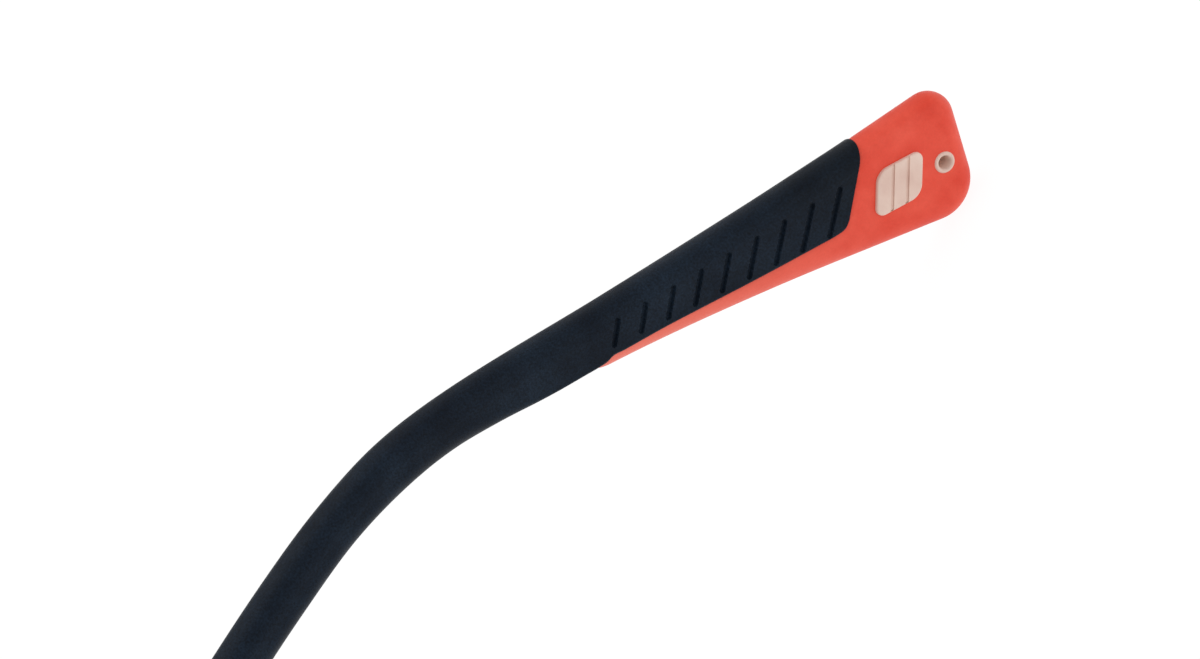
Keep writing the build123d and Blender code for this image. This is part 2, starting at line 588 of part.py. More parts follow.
def flip_axle():
    """Pin of the flip hinge with a domed head at each end."""
    start, end = FLIP_HEAD_REACH
    half = FLIP_EAR_X[1] + (start + end) / 2 - 0.1
    axle = rod_x((-half, half), FLIP_Y, FLIP_Z, FLIP_PIN_R)
    for side in (-1, 1):
        head_x = sorted((side * (FLIP_EAR_X[1] + start), side * (FLIP_EAR_X[1] + end)))
        head = rod_x(head_x, FLIP_Y, FLIP_Z, FLIP_HEAD_R)
        outer = head.edges().filter_by(GeomType.CIRCLE).sort_by(Axis.X)[0 if side < 0 else -1]
        axle += fillet(outer, FLIP_HEAD_EDGE_R)
    return axle


def flip_washers():
    """Friction washers between the heads and the ears."""
    rings = []
    for side in (-1, 1):
        ring_x = sorted((side * FLIP_EAR_X[1], side * (FLIP_EAR_X[1] + WASHER_THICKNESS)))
        ring = rod_x(ring_x, FLIP_Y, FLIP_Z, WASHER_R)
        rings.append(ring - rod_x(THROUGH_X, FLIP_Y, FLIP_Z, FLIP_PIN_R))
    return Compound(children=rings)


def flip_arm():
    """Swinging arm: knuckle on the axle, centre block of the crossbar, and the stub of the finger lever."""
    half = FLIP_EAR_X[0] - KNUCKLE_SIDE_GAP
    knuckle = rod_x((-half, half), FLIP_Y, FLIP_Z, FLIP_EAR_R)
    neck = block((-half, half), (ARM_NECK_FRONT_Y, FLIP_Y - 1.2), ARM_NECK_Z)
    neck = fillet(neck.edges().filter_by(Axis.X).sort_by(Axis.Y)[:2].sort_by(Axis.Z)[-1:], ARM_NECK_EDGE_R)
    centre = block((-CENTRE_HALF_WIDTH, CENTRE_HALF_WIDTH), BAR_Y, CARRIER_Z)
    centre = fillet(centre.edges().filter_by(Axis.X), BAR_EDGE_R)
    arm = knuckle + neck + centre + block(*STUB)
    arm -= rod_x(THROUGH_X, FLIP_Y, FLIP_Z, FLIP_PIN_R + RUNNING_GAP)
    arm -= rod_x(THROUGH_X, ROD_Y, GUIDE_ROD_Z, ROD_R)
    return arm - rod_x(THROUGH_X, ROD_Y, SPINDLE_Z, ROD_R + RUNNING_GAP)


def lever_grip():
    """Soft grip on the finger lever that flips the loupes up."""
    grip = block(*GRIP)
    grip = fillet(grip.edges().filter_by(Axis.Z), GRIP_CORNER_R)
    grip = fillet(grip.edges().filter_by(Axis.Z, reverse=True), GRIP_EDGE_R)
    return grip - block(*STUB)


# ---- crossbar ----------------------------------------------------------------------------------------------
def guide_rod():
    """Plain rod that the two carriers slide on."""
    return rod_x((-END_PLATE_X[1], END_PLATE_X[1]), ROD_Y, GUIDE_ROD_Z, ROD_R)


def pd_spindle():
    """Left- and right-handed spindle that moves both carriers together."""
    return rod_x((-KNOB_X[1] + 0.8, KNOB_X[1] - 0.8), ROD_Y, SPINDLE_Z, ROD_R)


def pd_knob():
    """Left knob of the pupil-distance spindle."""
    return knurled_knob(KNOB_X, ROD_Y, SPINDLE_Z, KNOB_R, 20) - pd_spindle()


def end_plate():
    """Left end plate that ties the rod and the spindle together."""
    plate = block(END_PLATE_X, BAR_Y, (CARRIER_Z[0], END_PLATE_TOP))
    plate = fillet(plate.edges().filter_by(Axis.X), END_PLATE_EDGE_R)
    plate -= guide_rod()
    return plate - rod_x((END_PLATE_X[0] - 1, END_PLATE_X[1] + 1), ROD_Y, SPINDLE_Z, ROD_R + RUNNING_GAP)


def carrier():
    """Left carrier: slides on the rod and holds the barrel's pivot."""
    x = (CARRIER_X - CARRIER_HALF_WIDTH, CARRIER_X + CARRIER_HALF_WIDTH)
    body = block(x, BAR_Y, CARRIER_Z)
    body = fillet(body.edges().filter_by(Axis.X), CARRIER_EDGE_R)
    body = chamfer(body.edges().filter_by(Axis.Y), CARRIER_CORNER)
    bore_x = (x[0] - 1, x[1] + 1)
    body -= rod_x(bore_x, ROD_Y, GUIDE_ROD_Z, ROD_R + RUNNING_GAP)
    body -= rod_x(bore_x, ROD_Y, SPINDLE_Z, ROD_R + RUNNING_GAP)
    return body - rod_z(CARRIER_X, ROD_Y, (CARRIER_Z[0] - 1, CARRIER_Z[0] + PIVOT_SUNK), PIVOT_R)


# ---- barrels -----------------------------------------------------------------------------------------------
def convergence_pin():
    """Left pivot pin that lets the barrel swing in and out."""
    return rod_z(CARRIER_X, ROD_Y, (CARRIER_Z[0] - PIVOT_REACH, CARRIER_Z[0] + PIVOT_SUNK), PIVOT_R)


def clamp_ring():
    """Left clamp ring round the barrel's neck, with the boss that turns on the pivot pin."""
    ring = disc(CLAMP_W, CLAMP_R)
    boss = rod_z(CARRIER_X, ROD_Y, (CLAMP_BOSS_LOW_Z, CARRIER_Z[0] - PIVOT_GAP), CLAMP_BOSS_R)
    band = ring + boss
    band -= disc((CLAMP_W[0] - 10, CLAMP_W[1] + 4), NECK_R)
    pin_z = (CARRIER_Z[0] - PIVOT_REACH - 0.1, CARRIER_Z[0] + 1)
    return band - rod_z(CARRIER_X, ROD_Y, pin_z, PIVOT_R + RUNNING_GAP)


def barrel_profile(points):
    """A solid turned about the barrel's axis from (radius, w) points."""
    face = make_face(Polyline(*points, close=True).edges())
    turned = revolve(Plane.XZ * face, Axis.Z)
    return BARREL_PLANE.location * turned


def barrel_body():
    """Left barrel shell: straight neck, cone and objective seat."""
    return barrel_profile([
        (NECK_BORE_R, BUMPER_W), (NECK_R, BUMPER_W), (NECK_R, NECK_END_W), (SEAT_R, CONE_END_W),
        (SEAT_R, SEAT_END_W), (GLASS_R, SEAT_END_W), (GLASS_R, 21.4), (NECK_BORE_R, NECK_END_W),
    ])


def eyepiece_ring():
    """Left eyepiece ring that screws into the shell and holds the rear lens."""
    inside = EYE_LENS_R - 0.4
    return barrel_profile([
        (EYE_LENS_R, BUMPER_LIP), (EYE_RING_R, BUMPER_LIP), (EYE_RING_R, BUMPER_W), (NECK_BORE_R, BUMPER_W),
        (NECK_BORE_R, 6.4), (inside, 6.4), (inside, EYE_LENS_W[1]), (EYE_LENS_R, EYE_LENS_W[1]),
    ])


def eye_bumper():
    """Left rubber bumper that keeps the eyepiece off the spectacle lens."""
    return barrel_profile([
        (EYE_LENS_R, 0.0), (9.2, 0.0), (NECK_R, 0.7), (NECK_R, BUMPER_W), (EYE_RING_R, BUMPER_W),
        (EYE_RING_R, BUMPER_LIP), (EYE_LENS_R, BUMPER_LIP),
    ])


def eyepiece_lens():
    """Left rear lens, hollow on the eye's side."""
    lens = disc(EYE_LENS_W, EYE_LENS_R)
    hollow_w = EYE_LENS_W[0] + EYE_LENS_HOLLOW - EYE_LENS_HOLLOW_R
    return lens - BARREL_PLANE.location * Pos(0, 0, hollow_w) * Sphere(EYE_LENS_HOLLOW_R)


def objective_bezel():
    """Left bezel that clamps the objective and takes a push-on filter cap."""
    inside = GLASS_R - 0.9
    return barrel_profile([
        (SEAT_R, 22.8), (OBJECTIVE_R - 0.2, 22.8), (OBJECTIVE_R, 23.0), (OBJECTIVE_R, LOW_EDGE_W),
        (OBJECTIVE_R - 0.4, BEZEL_END_W), (inside + 0.5, BEZEL_END_W), (inside, BEZEL_END_W - 0.8),
        (inside, GLASS_W[1]), (GLASS_R, GLASS_W[1]), (GLASS_R, SEAT_END_W), (SEAT_R, SEAT_END_W),
    ])


def objective_lens():
    """Left front lens, crowned towards the work."""
    dome = BARREL_PLANE.location * Pos(0, 0, GLASS_W[1] - OBJECTIVE_CROWN_R) * Sphere(OBJECTIVE_CROWN_R)
    return disc(GLASS_W, GLASS_R) & dome


# ---- all pieces --------------------------------------------------------------------------------------------
def pairs():
    """Left-hand pieces that have a mirrored right-hand twin."""
    makers = (
        wrap_lens, hinge_screw, nose_pad, nose_pad_arm, pd_knob, end_plate, carrier, convergence_pin,
        clamp_ring, barrel_body, eyepiece_ring, eye_bumper, eyepiece_lens, objective_bezel, objective_lens,
    )
    return {make.__name__: make() for make in makers} | temple_parts()


def singles():
    """Pieces on the loupes' middle plane."""
    makers = (
        front_frame, bridge_mount, bridge_screws, height_slider, height_knob, flip_axle, flip_washers,
        flip_arm, lever_grip, guide_rod, pd_spindle,
    )
    return {make.__name__: make() for make in makers}


def main():
    """Builds every piece in the row frame and writes one STEP for each."""
    os.makedirs("parts", exist_ok=True)
    pieces = singles()
    for name, shape in pairs().items():
        pieces[name + "_left"] = shape
        pieces[name + "_right"] = mirrored(shape)
    for name, shape in pieces.items():
        export_step(Pos(0, -ORIGIN_Y, 0) * shape, f"parts/{name}.step")
    box = Compound(children=list(pieces.values())).bounding_box()
    print(f"{len(pieces)} pieces, {box.size.X:.2f} wide, {box.size.Y:.2f} long and {box.size.Z:.2f} high")


if __name__ == "__main__":
    main()
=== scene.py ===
"""Looks for the flip-up dental loupes: finishes, the moulded temple ends, the studio and the camera."""

import json
import logging
import math
from dataclasses import dataclass, field
from enum import Enum
from typing import Callable, Optional, Sequence

import bmesh
import bpy
from mathutils import Matrix, Vector


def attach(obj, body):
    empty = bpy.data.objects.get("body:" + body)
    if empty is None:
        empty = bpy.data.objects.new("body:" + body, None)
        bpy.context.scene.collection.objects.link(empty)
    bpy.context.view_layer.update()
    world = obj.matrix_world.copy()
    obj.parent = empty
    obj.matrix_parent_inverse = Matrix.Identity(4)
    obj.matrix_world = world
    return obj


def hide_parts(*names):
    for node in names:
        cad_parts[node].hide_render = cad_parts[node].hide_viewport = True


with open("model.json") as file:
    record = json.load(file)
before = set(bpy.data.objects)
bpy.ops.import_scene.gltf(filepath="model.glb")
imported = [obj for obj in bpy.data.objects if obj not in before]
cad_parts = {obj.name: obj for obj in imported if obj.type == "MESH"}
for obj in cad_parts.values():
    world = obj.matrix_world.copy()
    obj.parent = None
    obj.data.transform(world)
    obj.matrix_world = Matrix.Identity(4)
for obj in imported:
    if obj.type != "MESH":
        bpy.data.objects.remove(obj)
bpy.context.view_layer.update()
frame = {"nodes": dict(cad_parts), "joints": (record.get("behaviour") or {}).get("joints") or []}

LOG = logging.getLogger("loupes")
Point2 = tuple[float, float]
Colour = tuple[float, float, float]
Ring = list[bmesh.types.BMVert]
Edges = list[bmesh.types.BMEdge]
MM = 0.001
SAME_PLACE = 0.001                        # vertices this close are one, in mm
PATH_STEP = 0.2                           # spacing of an edge's samples, in mm
EYELET_CENTRE: Point2 = (132.5, -31.6)    # in the temple's plane, in mm
AIM = (0.0, 0.0, 0.02)                    # where the lights point, in metres
WHITE = (1.0, 1.0, 1.0, 1.0)


class Side(Enum):
    """The wearer's side that a piece belongs to, with its sign along X."""

    LEFT = 1
    RIGHT = -1

    @property
    def tag(self) -> str:
        """The ending of this side's node names."""
        return self.name.lower()

    @property
    def short(self) -> str:
        """The ending of this side's body names."""
        return self.name[0].lower()


class Grain(Enum):
    """How a finish's fine surface is laid: its finer layers, its scale and its stretch along the axes."""

    PEBBLE = (3.0, 1.0, (1.0, 1.0, 1.0))
    BLASTED = (6.0, 1.0, (1.0, 1.0, 1.0))
    TURNED = (3.0, 1.0, (0.05, 1.0, 1.0))
    SMOOTH = (2.0, 0.3, (1.0, 1.0, 1.0))


# ---- finishes -----------------------------------------------------------------------------------------
def linear(colour: Colour) -> tuple[float, float, float, float]:
    """Turns a display colour into scene-linear values.

    Args:
        colour: red, green and blue from 0 to 255, as a display shows them.

    Returns:
        The scene-linear colour with an alpha of 1.
    """
    parts = [c / 255 for c in colour]
    flat = [c / 12.92 if c <= 0.04045 else ((c + 0.055) / 1.055) ** 2.4 for c in parts]
    return flat[0], flat[1], flat[2], 1.0


@dataclass(frozen=True)
class NodeDesk:
    """A small helper that adds and joins nodes of one material."""

    tree: bpy.types.NodeTree

    def add(self, kind: str, **settings: object) -> bpy.types.Node:
        """Adds a node.

        Args:
            kind: the node's Blender type name.
            settings: attribute values, or input values by socket name with spaces as underscores.

        Returns:
            The new node.
        """
        node = self.tree.nodes.new(kind)
        for key, value in settings.items():
            socket = node.inputs.get(key.replace("_", " "))
            if socket is not None:
                socket.default_value = value
            else:
                setattr(node, key, value)
        return node

    def join(self, out: bpy.types.NodeSocket, into: bpy.types.NodeSocket) -> None:
        """Links one socket to another."""
        self.tree.links.new(out, into)

    def noise(self, scale: float, detail: float,
              stretch: Vector = Vector((1, 1, 1))) -> bpy.types.NodeSocket:
        """A noise pattern in the piece's own coordinates.

        Args:
            scale: pattern cells to the metre.
            detail: how many finer layers it has.
            stretch: scale factors along the three axes.

        Returns:
            The pattern's factor socket.
        """
        coords = self.add("ShaderNodeTexCoord")
        mapping = self.add("ShaderNodeMapping")
        mapping.inputs["Scale"].default_value = stretch
        pattern = self.add("ShaderNodeTexNoise", Scale=scale, Detail=detail, Roughness=0.6)
        self.join(coords.outputs["Object"], mapping.inputs["Vector"])
        self.join(mapping.outputs["Vector"], pattern.inputs["Vector"])
        return pattern.outputs["Fac"]

    def ramp(self, factor: bpy.types.NodeSocket, reach: tuple[float, float], first: Sequence[float],
             last: Sequence[float]) -> bpy.types.NodeSocket:
        """Maps a factor to a colour between two stops.

        Args:
            factor: the socket to map.
            reach: the factor at the first and at the last stop.
            first: the colour at the first stop.
            last: the colour at the last stop.

        Returns:
            The ramp's colour socket.
        """
        ramp = self.add("ShaderNodeValToRGB")
        for stop, place, colour in zip(ramp.color_ramp.elements, reach, (first, last)):
            stop.position = place
            stop.color = colour
        self.join(factor, ramp.inputs["Fac"])
        return ramp.outputs["Color"]

    def span(self, factor: bpy.types.NodeSocket, low: float, high: float, start: float = 0.3,
             stop: float = 0.7, ease: str = "LINEAR") -> bpy.types.NodeSocket:
        """Maps part of a factor's range, by default a pattern's middle, to a span of values.

        Args:
            factor: the socket to map.
            low: the value at the part's low end.
            high: the value at its high end.
            start: the factor at the low end.
            stop: the factor at the high end.
            ease: how the value changes in between.

        Returns:
            The mapped value's socket.
        """
        mapped = self.add("ShaderNodeMapRange", interpolation_type=ease, From_Min=start, From_Max=stop,
                          To_Min=low, To_Max=high)
        self.join(factor, mapped.inputs["Value"])
        return mapped.outputs["Result"]

    def blend(self, share: bpy.types.NodeSocket, tone: bpy.types.NodeSocket,
              colour: Colour) -> bpy.types.NodeSocket:
        """Blends a tone towards a display colour.

        Args:
            share: how much of the colour there is.
            tone: the tone where the share is 0.
            colour: the colour where it is 1.

        Returns:
            The blended colour's socket.
        """
        mix = self.add("ShaderNodeMix", data_type="RGBA")
        mix.inputs["B"].default_value = linear(colour)
        self.join(share, mix.inputs["Factor"])
        self.join(tone, mix.inputs["A"])
        return mix.outputs["Result"]

    def bump(self, height: bpy.types.NodeSocket, depth: float, strength: float,
             under: Optional[bpy.types.NodeSocket] = None) -> bpy.types.NodeSocket:
        """Adds a relief layer.

        Args:
            height: the relief's height socket.
            depth: the relief's depth in metres.
            strength: from 0 to 1.
            under: the normal of the layer beneath, if there is one.

        Returns:
            The normal socket.
        """
        bump = self.add("ShaderNodeBump", Strength=strength, Distance=depth)
        self.join(height, bump.inputs["Height"])
        if under is not None:
            self.join(under, bump.inputs["Normal"])
        return bump.outputs["Normal"]


def cached_material(name: str, fill: Callable[[NodeDesk], None]) -> bpy.types.Material:
    """Builds a finish's material once, and hands the same one out after that.

    Args:
        name: the finish's name.
        fill: sets up the material's nodes.

    Returns:
        The finish's material.
    """
    title = f"{name}_finish"
    made = bpy.data.materials.get(title)
    if made is None:
        made = bpy.data.materials.new(title)
        made.use_nodes = True
        fill(NodeDesk(made.node_tree))
    return made


@dataclass(frozen=True)
class Fade:
    """Painted light and shade: a slow change of tone along a piece, between two places on its Y axis, in metres,
    standing in for how the light falls there.
    """

    colour: Colour
    full: float
    gone: float
    share: float = 1.0


@dataclass(frozen=True)
class Finish:
    """A solid finish: two close tones, a fine grain, slow changes of gloss, and for some, painted light and shade
    along the piece.
    """

    name: str
    dark: Colour
    light: Colour
    rough: tuple[float, float] = (0.5, 0.6)
    grain: Grain = Grain.PEBBLE
    grain_size: float = 0.16 * MM
    grain_depth: float = 0.008 * MM
    grain_strength: float = 0.8
    blotch: float = 6 * MM
    gloss_patch: float = 0.4
    metal: float = 0.0
    sheen: float = 0.0
    sheen_spread: float = 0.45
    specular: float = 0.5
    see_through: float = 0.0
    tone_range: tuple[float, float] = (0.32, 0.68)
    rubbed_range: tuple[float, float] = (0.54, 0.62)
    rubbed_share: float = 0.55
    wear_patch: float = 0.7 * MM
    wave: float = 2.2 * MM
    wave_depth: float = 0.02 * MM
    wave_strength: float = 0.25
    speckle: float = 0.0
    speckle_size: float = 1.6
    # painted light and shade along the piece, if any
    fade: Optional[Fade] = None
    worn: Optional[Colour] = None

    def material(self) -> bpy.types.Material:
        """The finish's material."""
        return cached_material(self.name, self.fill)

    def fill(self, desk: NodeDesk) -> None:
        """Sets up the finish's nodes.

        Args:
            desk: the material's node desk.
        """
        shader = desk.tree.nodes["Principled BSDF"]
        shader.inputs["Metallic"].default_value = self.metal
        shader.inputs["Sheen Weight"].default_value = self.sheen
        shader.inputs["Sheen Roughness"].default_value = self.sheen_spread
        shader.inputs["Specular IOR Level"].default_value = self.specular
        shader.inputs["Transmission Weight"].default_value = self.see_through
        slow = desk.noise(1 / self.blotch, 5.0)
        tone = desk.ramp(slow, self.tone_range, linear(self.dark), linear(self.light))
        # painted light and shade along the piece, where the finish has some
        if self.fade is not None:
            tone = self.fade_tone(desk, tone)
        if self.speckle:
            tone = self.speckled(desk, tone)
        if self.worn is not None:
            tone = self.wear(desk, tone)
        gloss = desk.span(desk.noise(1 / (self.blotch * self.gloss_patch), 6.0), *self.rough)
        desk.join(tone, shader.inputs["Base Color"])
        desk.join(gloss, shader.inputs["Roughness"])
        desk.join(self.relief(desk), shader.inputs["Normal"])

    def fade_tone(self, desk: NodeDesk, tone: bpy.types.NodeSocket) -> bpy.types.NodeSocket:
        """Blends towards a colour along the piece, as painted light and shade.

        Args:
            desk: the material's node desk.
            tone: the colour before the fade.

        Returns:
            The faded colour.
        """
        coords = desk.add("ShaderNodeTexCoord")
        axes = desk.add("ShaderNodeSeparateXYZ")
        desk.join(coords.outputs["Object"], axes.inputs["Vector"])
        fade = self.fade
        share = desk.span(axes.outputs["Y"], 0.0, fade.share, fade.gone, fade.full, "SMOOTHSTEP")
        return desk.blend(share, tone, fade.colour)

    def speckled(self, desk: NodeDesk, tone: bpy.types.NodeSocket) -> bpy.types.NodeSocket:
        """Lightens and darkens the tone from grain to grain.

        Args:
            desk: the material's node desk.
            tone: the even colour.

        Returns:
            The speckled colour.
        """
        pattern = desk.noise(1 / (self.speckle_size * self.grain_size), 2.0)
        grains = desk.span(pattern, 1.0 - self.speckle, 1.0 + self.speckle)
        shade = desk.add("ShaderNodeHueSaturation")
        desk.join(grains, shade.inputs["Value"])
        desk.join(tone, shade.inputs["Color"])
        return shade.outputs["Color"]

    def wear(self, desk: NodeDesk, tone: bpy.types.NodeSocket) -> bpy.types.NodeSocket:
        """Lightens the finish where handling rubs its edges.

        Args:
            desk: the material's node desk.
            tone: the colour before wear.

        Returns:
            The colour after wear.
        """
        edges = desk.add("ShaderNodeNewGeometry")
        patchy = desk.noise(1 / self.wear_patch, 6.0)
        rubbed = desk.span(edges.outputs["Pointiness"], 0.0, self.rubbed_share, *self.rubbed_range)
        worn = desk.add("ShaderNodeMath", operation="MULTIPLY")
        desk.join(rubbed, worn.inputs[0])
        desk.join(patchy, worn.inputs[1])
        return desk.blend(worn.outputs["Value"], tone, self.worn)

    def relief(self, desk: NodeDesk) -> bpy.types.NodeSocket:
        """The finish's fine surface.

        Args:
            desk: the material's node desk.

        Returns:
            The normal socket.
        """
        layers, scale, stretch = self.grain.value
        height = desk.noise(scale / self.grain_size, layers, Vector(stretch))
        slow = desk.bump(desk.noise(1 / self.wave, 3.0), self.wave_depth, self.wave_strength)
        return desk.bump(height, self.grain_depth, self.grain_strength, slow)


@dataclass(frozen=True)
class GlassFinish:
    """Clear or coated glass: a tint, a coating that shows more at a slant, and a faint gloss change."""

    name: str
    tint: Colour
    coating: Colour
    face_share: float
    slant_share: float = 0.85
    rough: tuple[float, float] = (0.03, 0.09)
    wipe: float = 4 * MM

    def material(self) -> bpy.types.Material:
        """The glass material."""
        return cached_material(self.name, self.fill)

    def fill(self, desk: NodeDesk) -> None:
        """Sets up the glass's nodes.

        Args:
            desk: the material's node desk.
        """
        shader = desk.tree.nodes["Principled BSDF"]
        shader.inputs["Base Color"].default_value = linear(self.coating)
        shader.inputs["Metallic"].default_value = 0.0
        shader.inputs["Specular IOR Level"].default_value = 0.8
        shader.inputs["Coat Weight"].default_value = 1.0
        shader.inputs["Coat Roughness"].default_value = 0.02
        gloss = desk.span(desk.noise(1 / self.wipe, 5.0), *self.rough)
        desk.join(gloss, shader.inputs["Roughness"])
        clear = desk.add("ShaderNodeBsdfTransparent")
        clear.inputs["Color"].default_value = linear(self.tint)
        rim = desk.add("ShaderNodeLayerWeight", Blend=0.25)
        share = desk.span(rim.outputs["Fresnel"], self.face_share, self.slant_share, 0.0, 1.0)
        mix = desk.add("ShaderNodeMixShader")
        desk.join(share, mix.inputs["Fac"])
        desk.join(clear.outputs["BSDF"], mix.inputs[1])
        desk.join(shader.outputs["BSDF"], mix.inputs[2])
        desk.join(mix.outputs["Shader"], desk.tree.nodes["Material Output"].inputs["Surface"])


# painted shade: the fade darkens the sleeve towards its end, where the flat face past the last groove turns from
# the light
NAVY_RUBBER = Finish("navy_rubber", (8, 18, 30), (20, 32, 45), (0.44, 0.60), grain_size=0.12 * MM,
                     grain_depth=0.022 * MM, sheen=0.04, specular=0.11, speckle=0.5,
                     fade=Fade((5, 10, 17), 0.0965, 0.086, 0.6))
# painted reflected light: the fade makes the tip paler towards its front strip, standing in for the white table's
# light bounced and reflected onto it
ORANGE_RUBBER = Finish("orange_rubber", (224, 66, 46), (238, 88, 68), (0.42, 0.54), grain_size=0.12 * MM,
                       grain_depth=0.006 * MM, blotch=4 * MM, sheen=0.02, specular=0.25, speckle=0.03,
                       fade=Fade((236, 114, 96), 0.070, 0.094))
CREAM_INLAY = Finish("cream_inlay", (222, 190, 176), (234, 208, 194), (0.50, 0.62), grain_size=0.10 * MM,
                     grain_depth=0.005 * MM, blotch=3 * MM, specular=0.25)
NAVY_NYLON = Finish("navy_nylon", (30, 36, 46), (40, 46, 58), (0.38, 0.50), grain_size=0.11 * MM,
                    grain_depth=0.004 * MM, specular=0.45, worn=(86, 92, 102))
BLACK_NYLON = Finish("black_nylon", (20, 20, 22), (30, 30, 33), (0.42, 0.55), grain_size=0.16 * MM,
                     grain_depth=0.008 * MM, worn=(70, 70, 72))
BLACK_ANODISED = Finish("black_anodised", (24, 24, 27), (36, 36, 40), (0.30, 0.42), grain=Grain.BLASTED,
                        grain_size=0.08 * MM, grain_depth=0.004 * MM, metal=0.75, worn=(150, 150, 152))
ORANGE_ANODISED = Finish("orange_anodised", (210, 78, 44), (226, 94, 56), (0.30, 0.40), grain=Grain.BLASTED,
                         grain_size=0.08 * MM, grain_depth=0.003 * MM, metal=0.75, worn=(236, 190, 168))
SCREW_STEEL = Finish("screw_steel", (150, 152, 156), (176, 178, 182), (0.26, 0.38), grain=Grain.TURNED,
                     grain_size=0.05 * MM, grain_depth=0.003 * MM, metal=1.0)
GROUND_STEEL = Finish("ground_steel", (186, 188, 192), (206, 208, 212), (0.16, 0.26), grain=Grain.TURNED,
                      grain_size=0.05 * MM, grain_depth=0.002 * MM, metal=1.0)
PAD_SILICONE = Finish("pad_silicone", (196, 200, 204), (214, 217, 220), (0.30, 0.42), grain=Grain.SMOOTH,
                      grain_size=0.3 * MM, grain_depth=0.004 * MM, see_through=0.45)
BUMPER_RUBBER = Finish("bumper_rubber", (22, 22, 24), (32, 32, 34), (0.60, 0.72), grain_size=0.15 * MM,
                       grain_depth=0.01 * MM, sheen=0.2)
SHIELD_GLASS = GlassFinish("shield_glass", (238, 243, 244), (214, 222, 226), 0.06)
COATED_GLASS = GlassFinish("coated_glass", (120, 110, 160), (74, 66, 128), 0.55)


# ---- mesh helpers -------------------------------------------------------------------------------------
def finished_piece(name: str, mesh: bmesh.types.BMesh, finish: bpy.types.Material, body: str) -> bpy.types.Object:
    """Turns a bmesh into an object that rides on a body.

    Args:
        name: the piece's name.
        mesh: its shape, in metres in the row frame. It is freed here.
        finish: its material.
        body: the moving body that it rides on.

    Returns:
        The new object.
    """
    data = bpy.data.meshes.new(name)
    for face in mesh.faces:
        face.smooth = True
    mesh.to_mesh(data)
    mesh.free()
    data.materials.append(finish)
    piece = bpy.data.objects.new(name, data)
    bpy.context.scene.collection.objects.link(piece)
    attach(piece, body)
    LOG.info("%s: %d faces, rides on %s", name, len(data.polygons), body)
    return piece


def crease_by_angle(mesh: bmesh.types.BMesh, degrees: float) -> None:
    """Keeps edges sharp where two faces meet at more than the given angle."""
    for edge in mesh.edges:
        edge.smooth = len(edge.link_faces) == 2 and edge.calc_face_angle(0.0) < math.radians(degrees)


def smooth_path(points: Sequence[Point2], spacing: float) -> list[Vector]:
    """A smooth curve through a few points, sampled at close steps.

    Args:
        points: the points it passes through.
        spacing: the greatest distance between samples.

    Returns:
        The samples, both ends included.
    """
    knots = [Vector(p) for p in points]
    ends = [knots[0] * 2 - knots[1], *knots, knots[-1] * 2 - knots[-2]]
    path: list[Vector] = []
    for i in range(1, len(ends) - 2):
        before, start, stop, after = ends[i - 1:i + 3]
        span = (stop - start).length
        enter = (stop - before) * (span / ((stop - start).length + (start - before).length))
        leave = (after - start) * (span / ((after - stop).length + span))
        steps = max(1, math.ceil(span / spacing))
        for k in range(steps):
            u = k / steps
            path.append(start * (2 * u**3 - 3 * u**2 + 1) + enter * (u**3 - 2 * u**2 + u)
                        + stop * (3 * u**2 - 2 * u**3) + leave * (u**3 - u**2))
    path.append(knots[-1])
    return path


def smooth_step(share: float) -> float:
    """Eases a share from 0 to 1 and clamps it."""
    kept = min(1.0, max(0.0, share))
    return kept * kept * (3.0 - 2.0 * kept)


def along(path: Sequence[Vector], share: float) -> Vector:
    """The point at a share of a path's length.

    Args:
        path: the path's samples.
        share: from 0 at its start to 1 at its end.

    Returns:
        The point there.
    """
    total = sum((b - a).length for a, b in zip(path, path[1:]))
    left = share * total
    for a, b in zip(path, path[1:]):
        step = (b - a).length
        if left <= step:
            return a.lerp(b, left / step if step else 0.0)
        left -= step
    return path[-1].copy()


# ---- temple ends --------------------------------------------------------------------------------------
@dataclass(frozen=True)
class TemplePlane:
    """The upright plane of the left temple: s runs back from the hinge, t up, n outwards, in mm."""

    hinge: Vector
    yaw: float = math.radians(5.0)

    def place(self, s: float, t: float, n: float) -> Vector:
        """A point of the left temple in the row frame, in metres."""
        back = Vector((-math.sin(self.yaw), math.cos(self.yaw), 0.0))
        out = Vector((math.cos(self.yaw), math.sin(self.yaw), 0.0))
        return (self.hinge + back * s + Vector((0, 0, t)) + out * n) * MM

    def matrix(self) -> Matrix:
        """Turns (s, t, n) in mm into the row frame in metres."""
        origin = self.place(0, 0, 0)
        columns = [self.place(*axis) - origin for axis in ((1, 0, 0), (0, 1, 0), (0, 0, 1))]
        turned = Matrix((columns[0], columns[1], columns[2])).transposed().to_4x4()
        return Matrix.Translation(origin) @ turned


@dataclass(frozen=True)
class TempleShape:
    """Side view of the sleeve and tip, and their thickness, in mm."""

    half_width: float = 1.95
    upper: tuple[Point2, ...] = ((44.0, 2.12), (53.0, 2.12), (62.0, 2.12), (72.0, 1.95), (80.0, 1.32),
                                 (87.5, -0.28), (95.0, -3.68), (108.0, -11.36), (120.0, -18.24),
                                 (128.0, -22.66))
    lower: tuple[Point2, ...] = ((95.0, -9.22), (106.0, -16.95), (116.0, -24.80), (126.0, -33.30))
    top_corner: Point2 = (138.2, -28.05)
    low_corner: Point2 = (131.29, -37.86)
    top_radius: float = 2.25
    low_radius: float = 3.5
    sleeve_upper_end: Point2 = (129.95, -23.72)
    sleeve_under: tuple[Point2, ...] = ((44.0, -2.12), (53.0, -2.12), (62.0, -2.12), (72.0, -2.27),
                                        (80.0, -2.88), (87.5, -4.94), (94.0, -8.20), (98.0, -10.56),
                                        (101.0, -12.42))
    junction: tuple[Point2, ...] = ((103.05, -13.66), (103.9, -13.88), (104.75, -14.48), (108.36, -16.82),
                                    (115.9, -22.06), (120.9, -25.42), (122.45, -26.42), (123.25, -26.74),
                                    (124.0, -26.56))


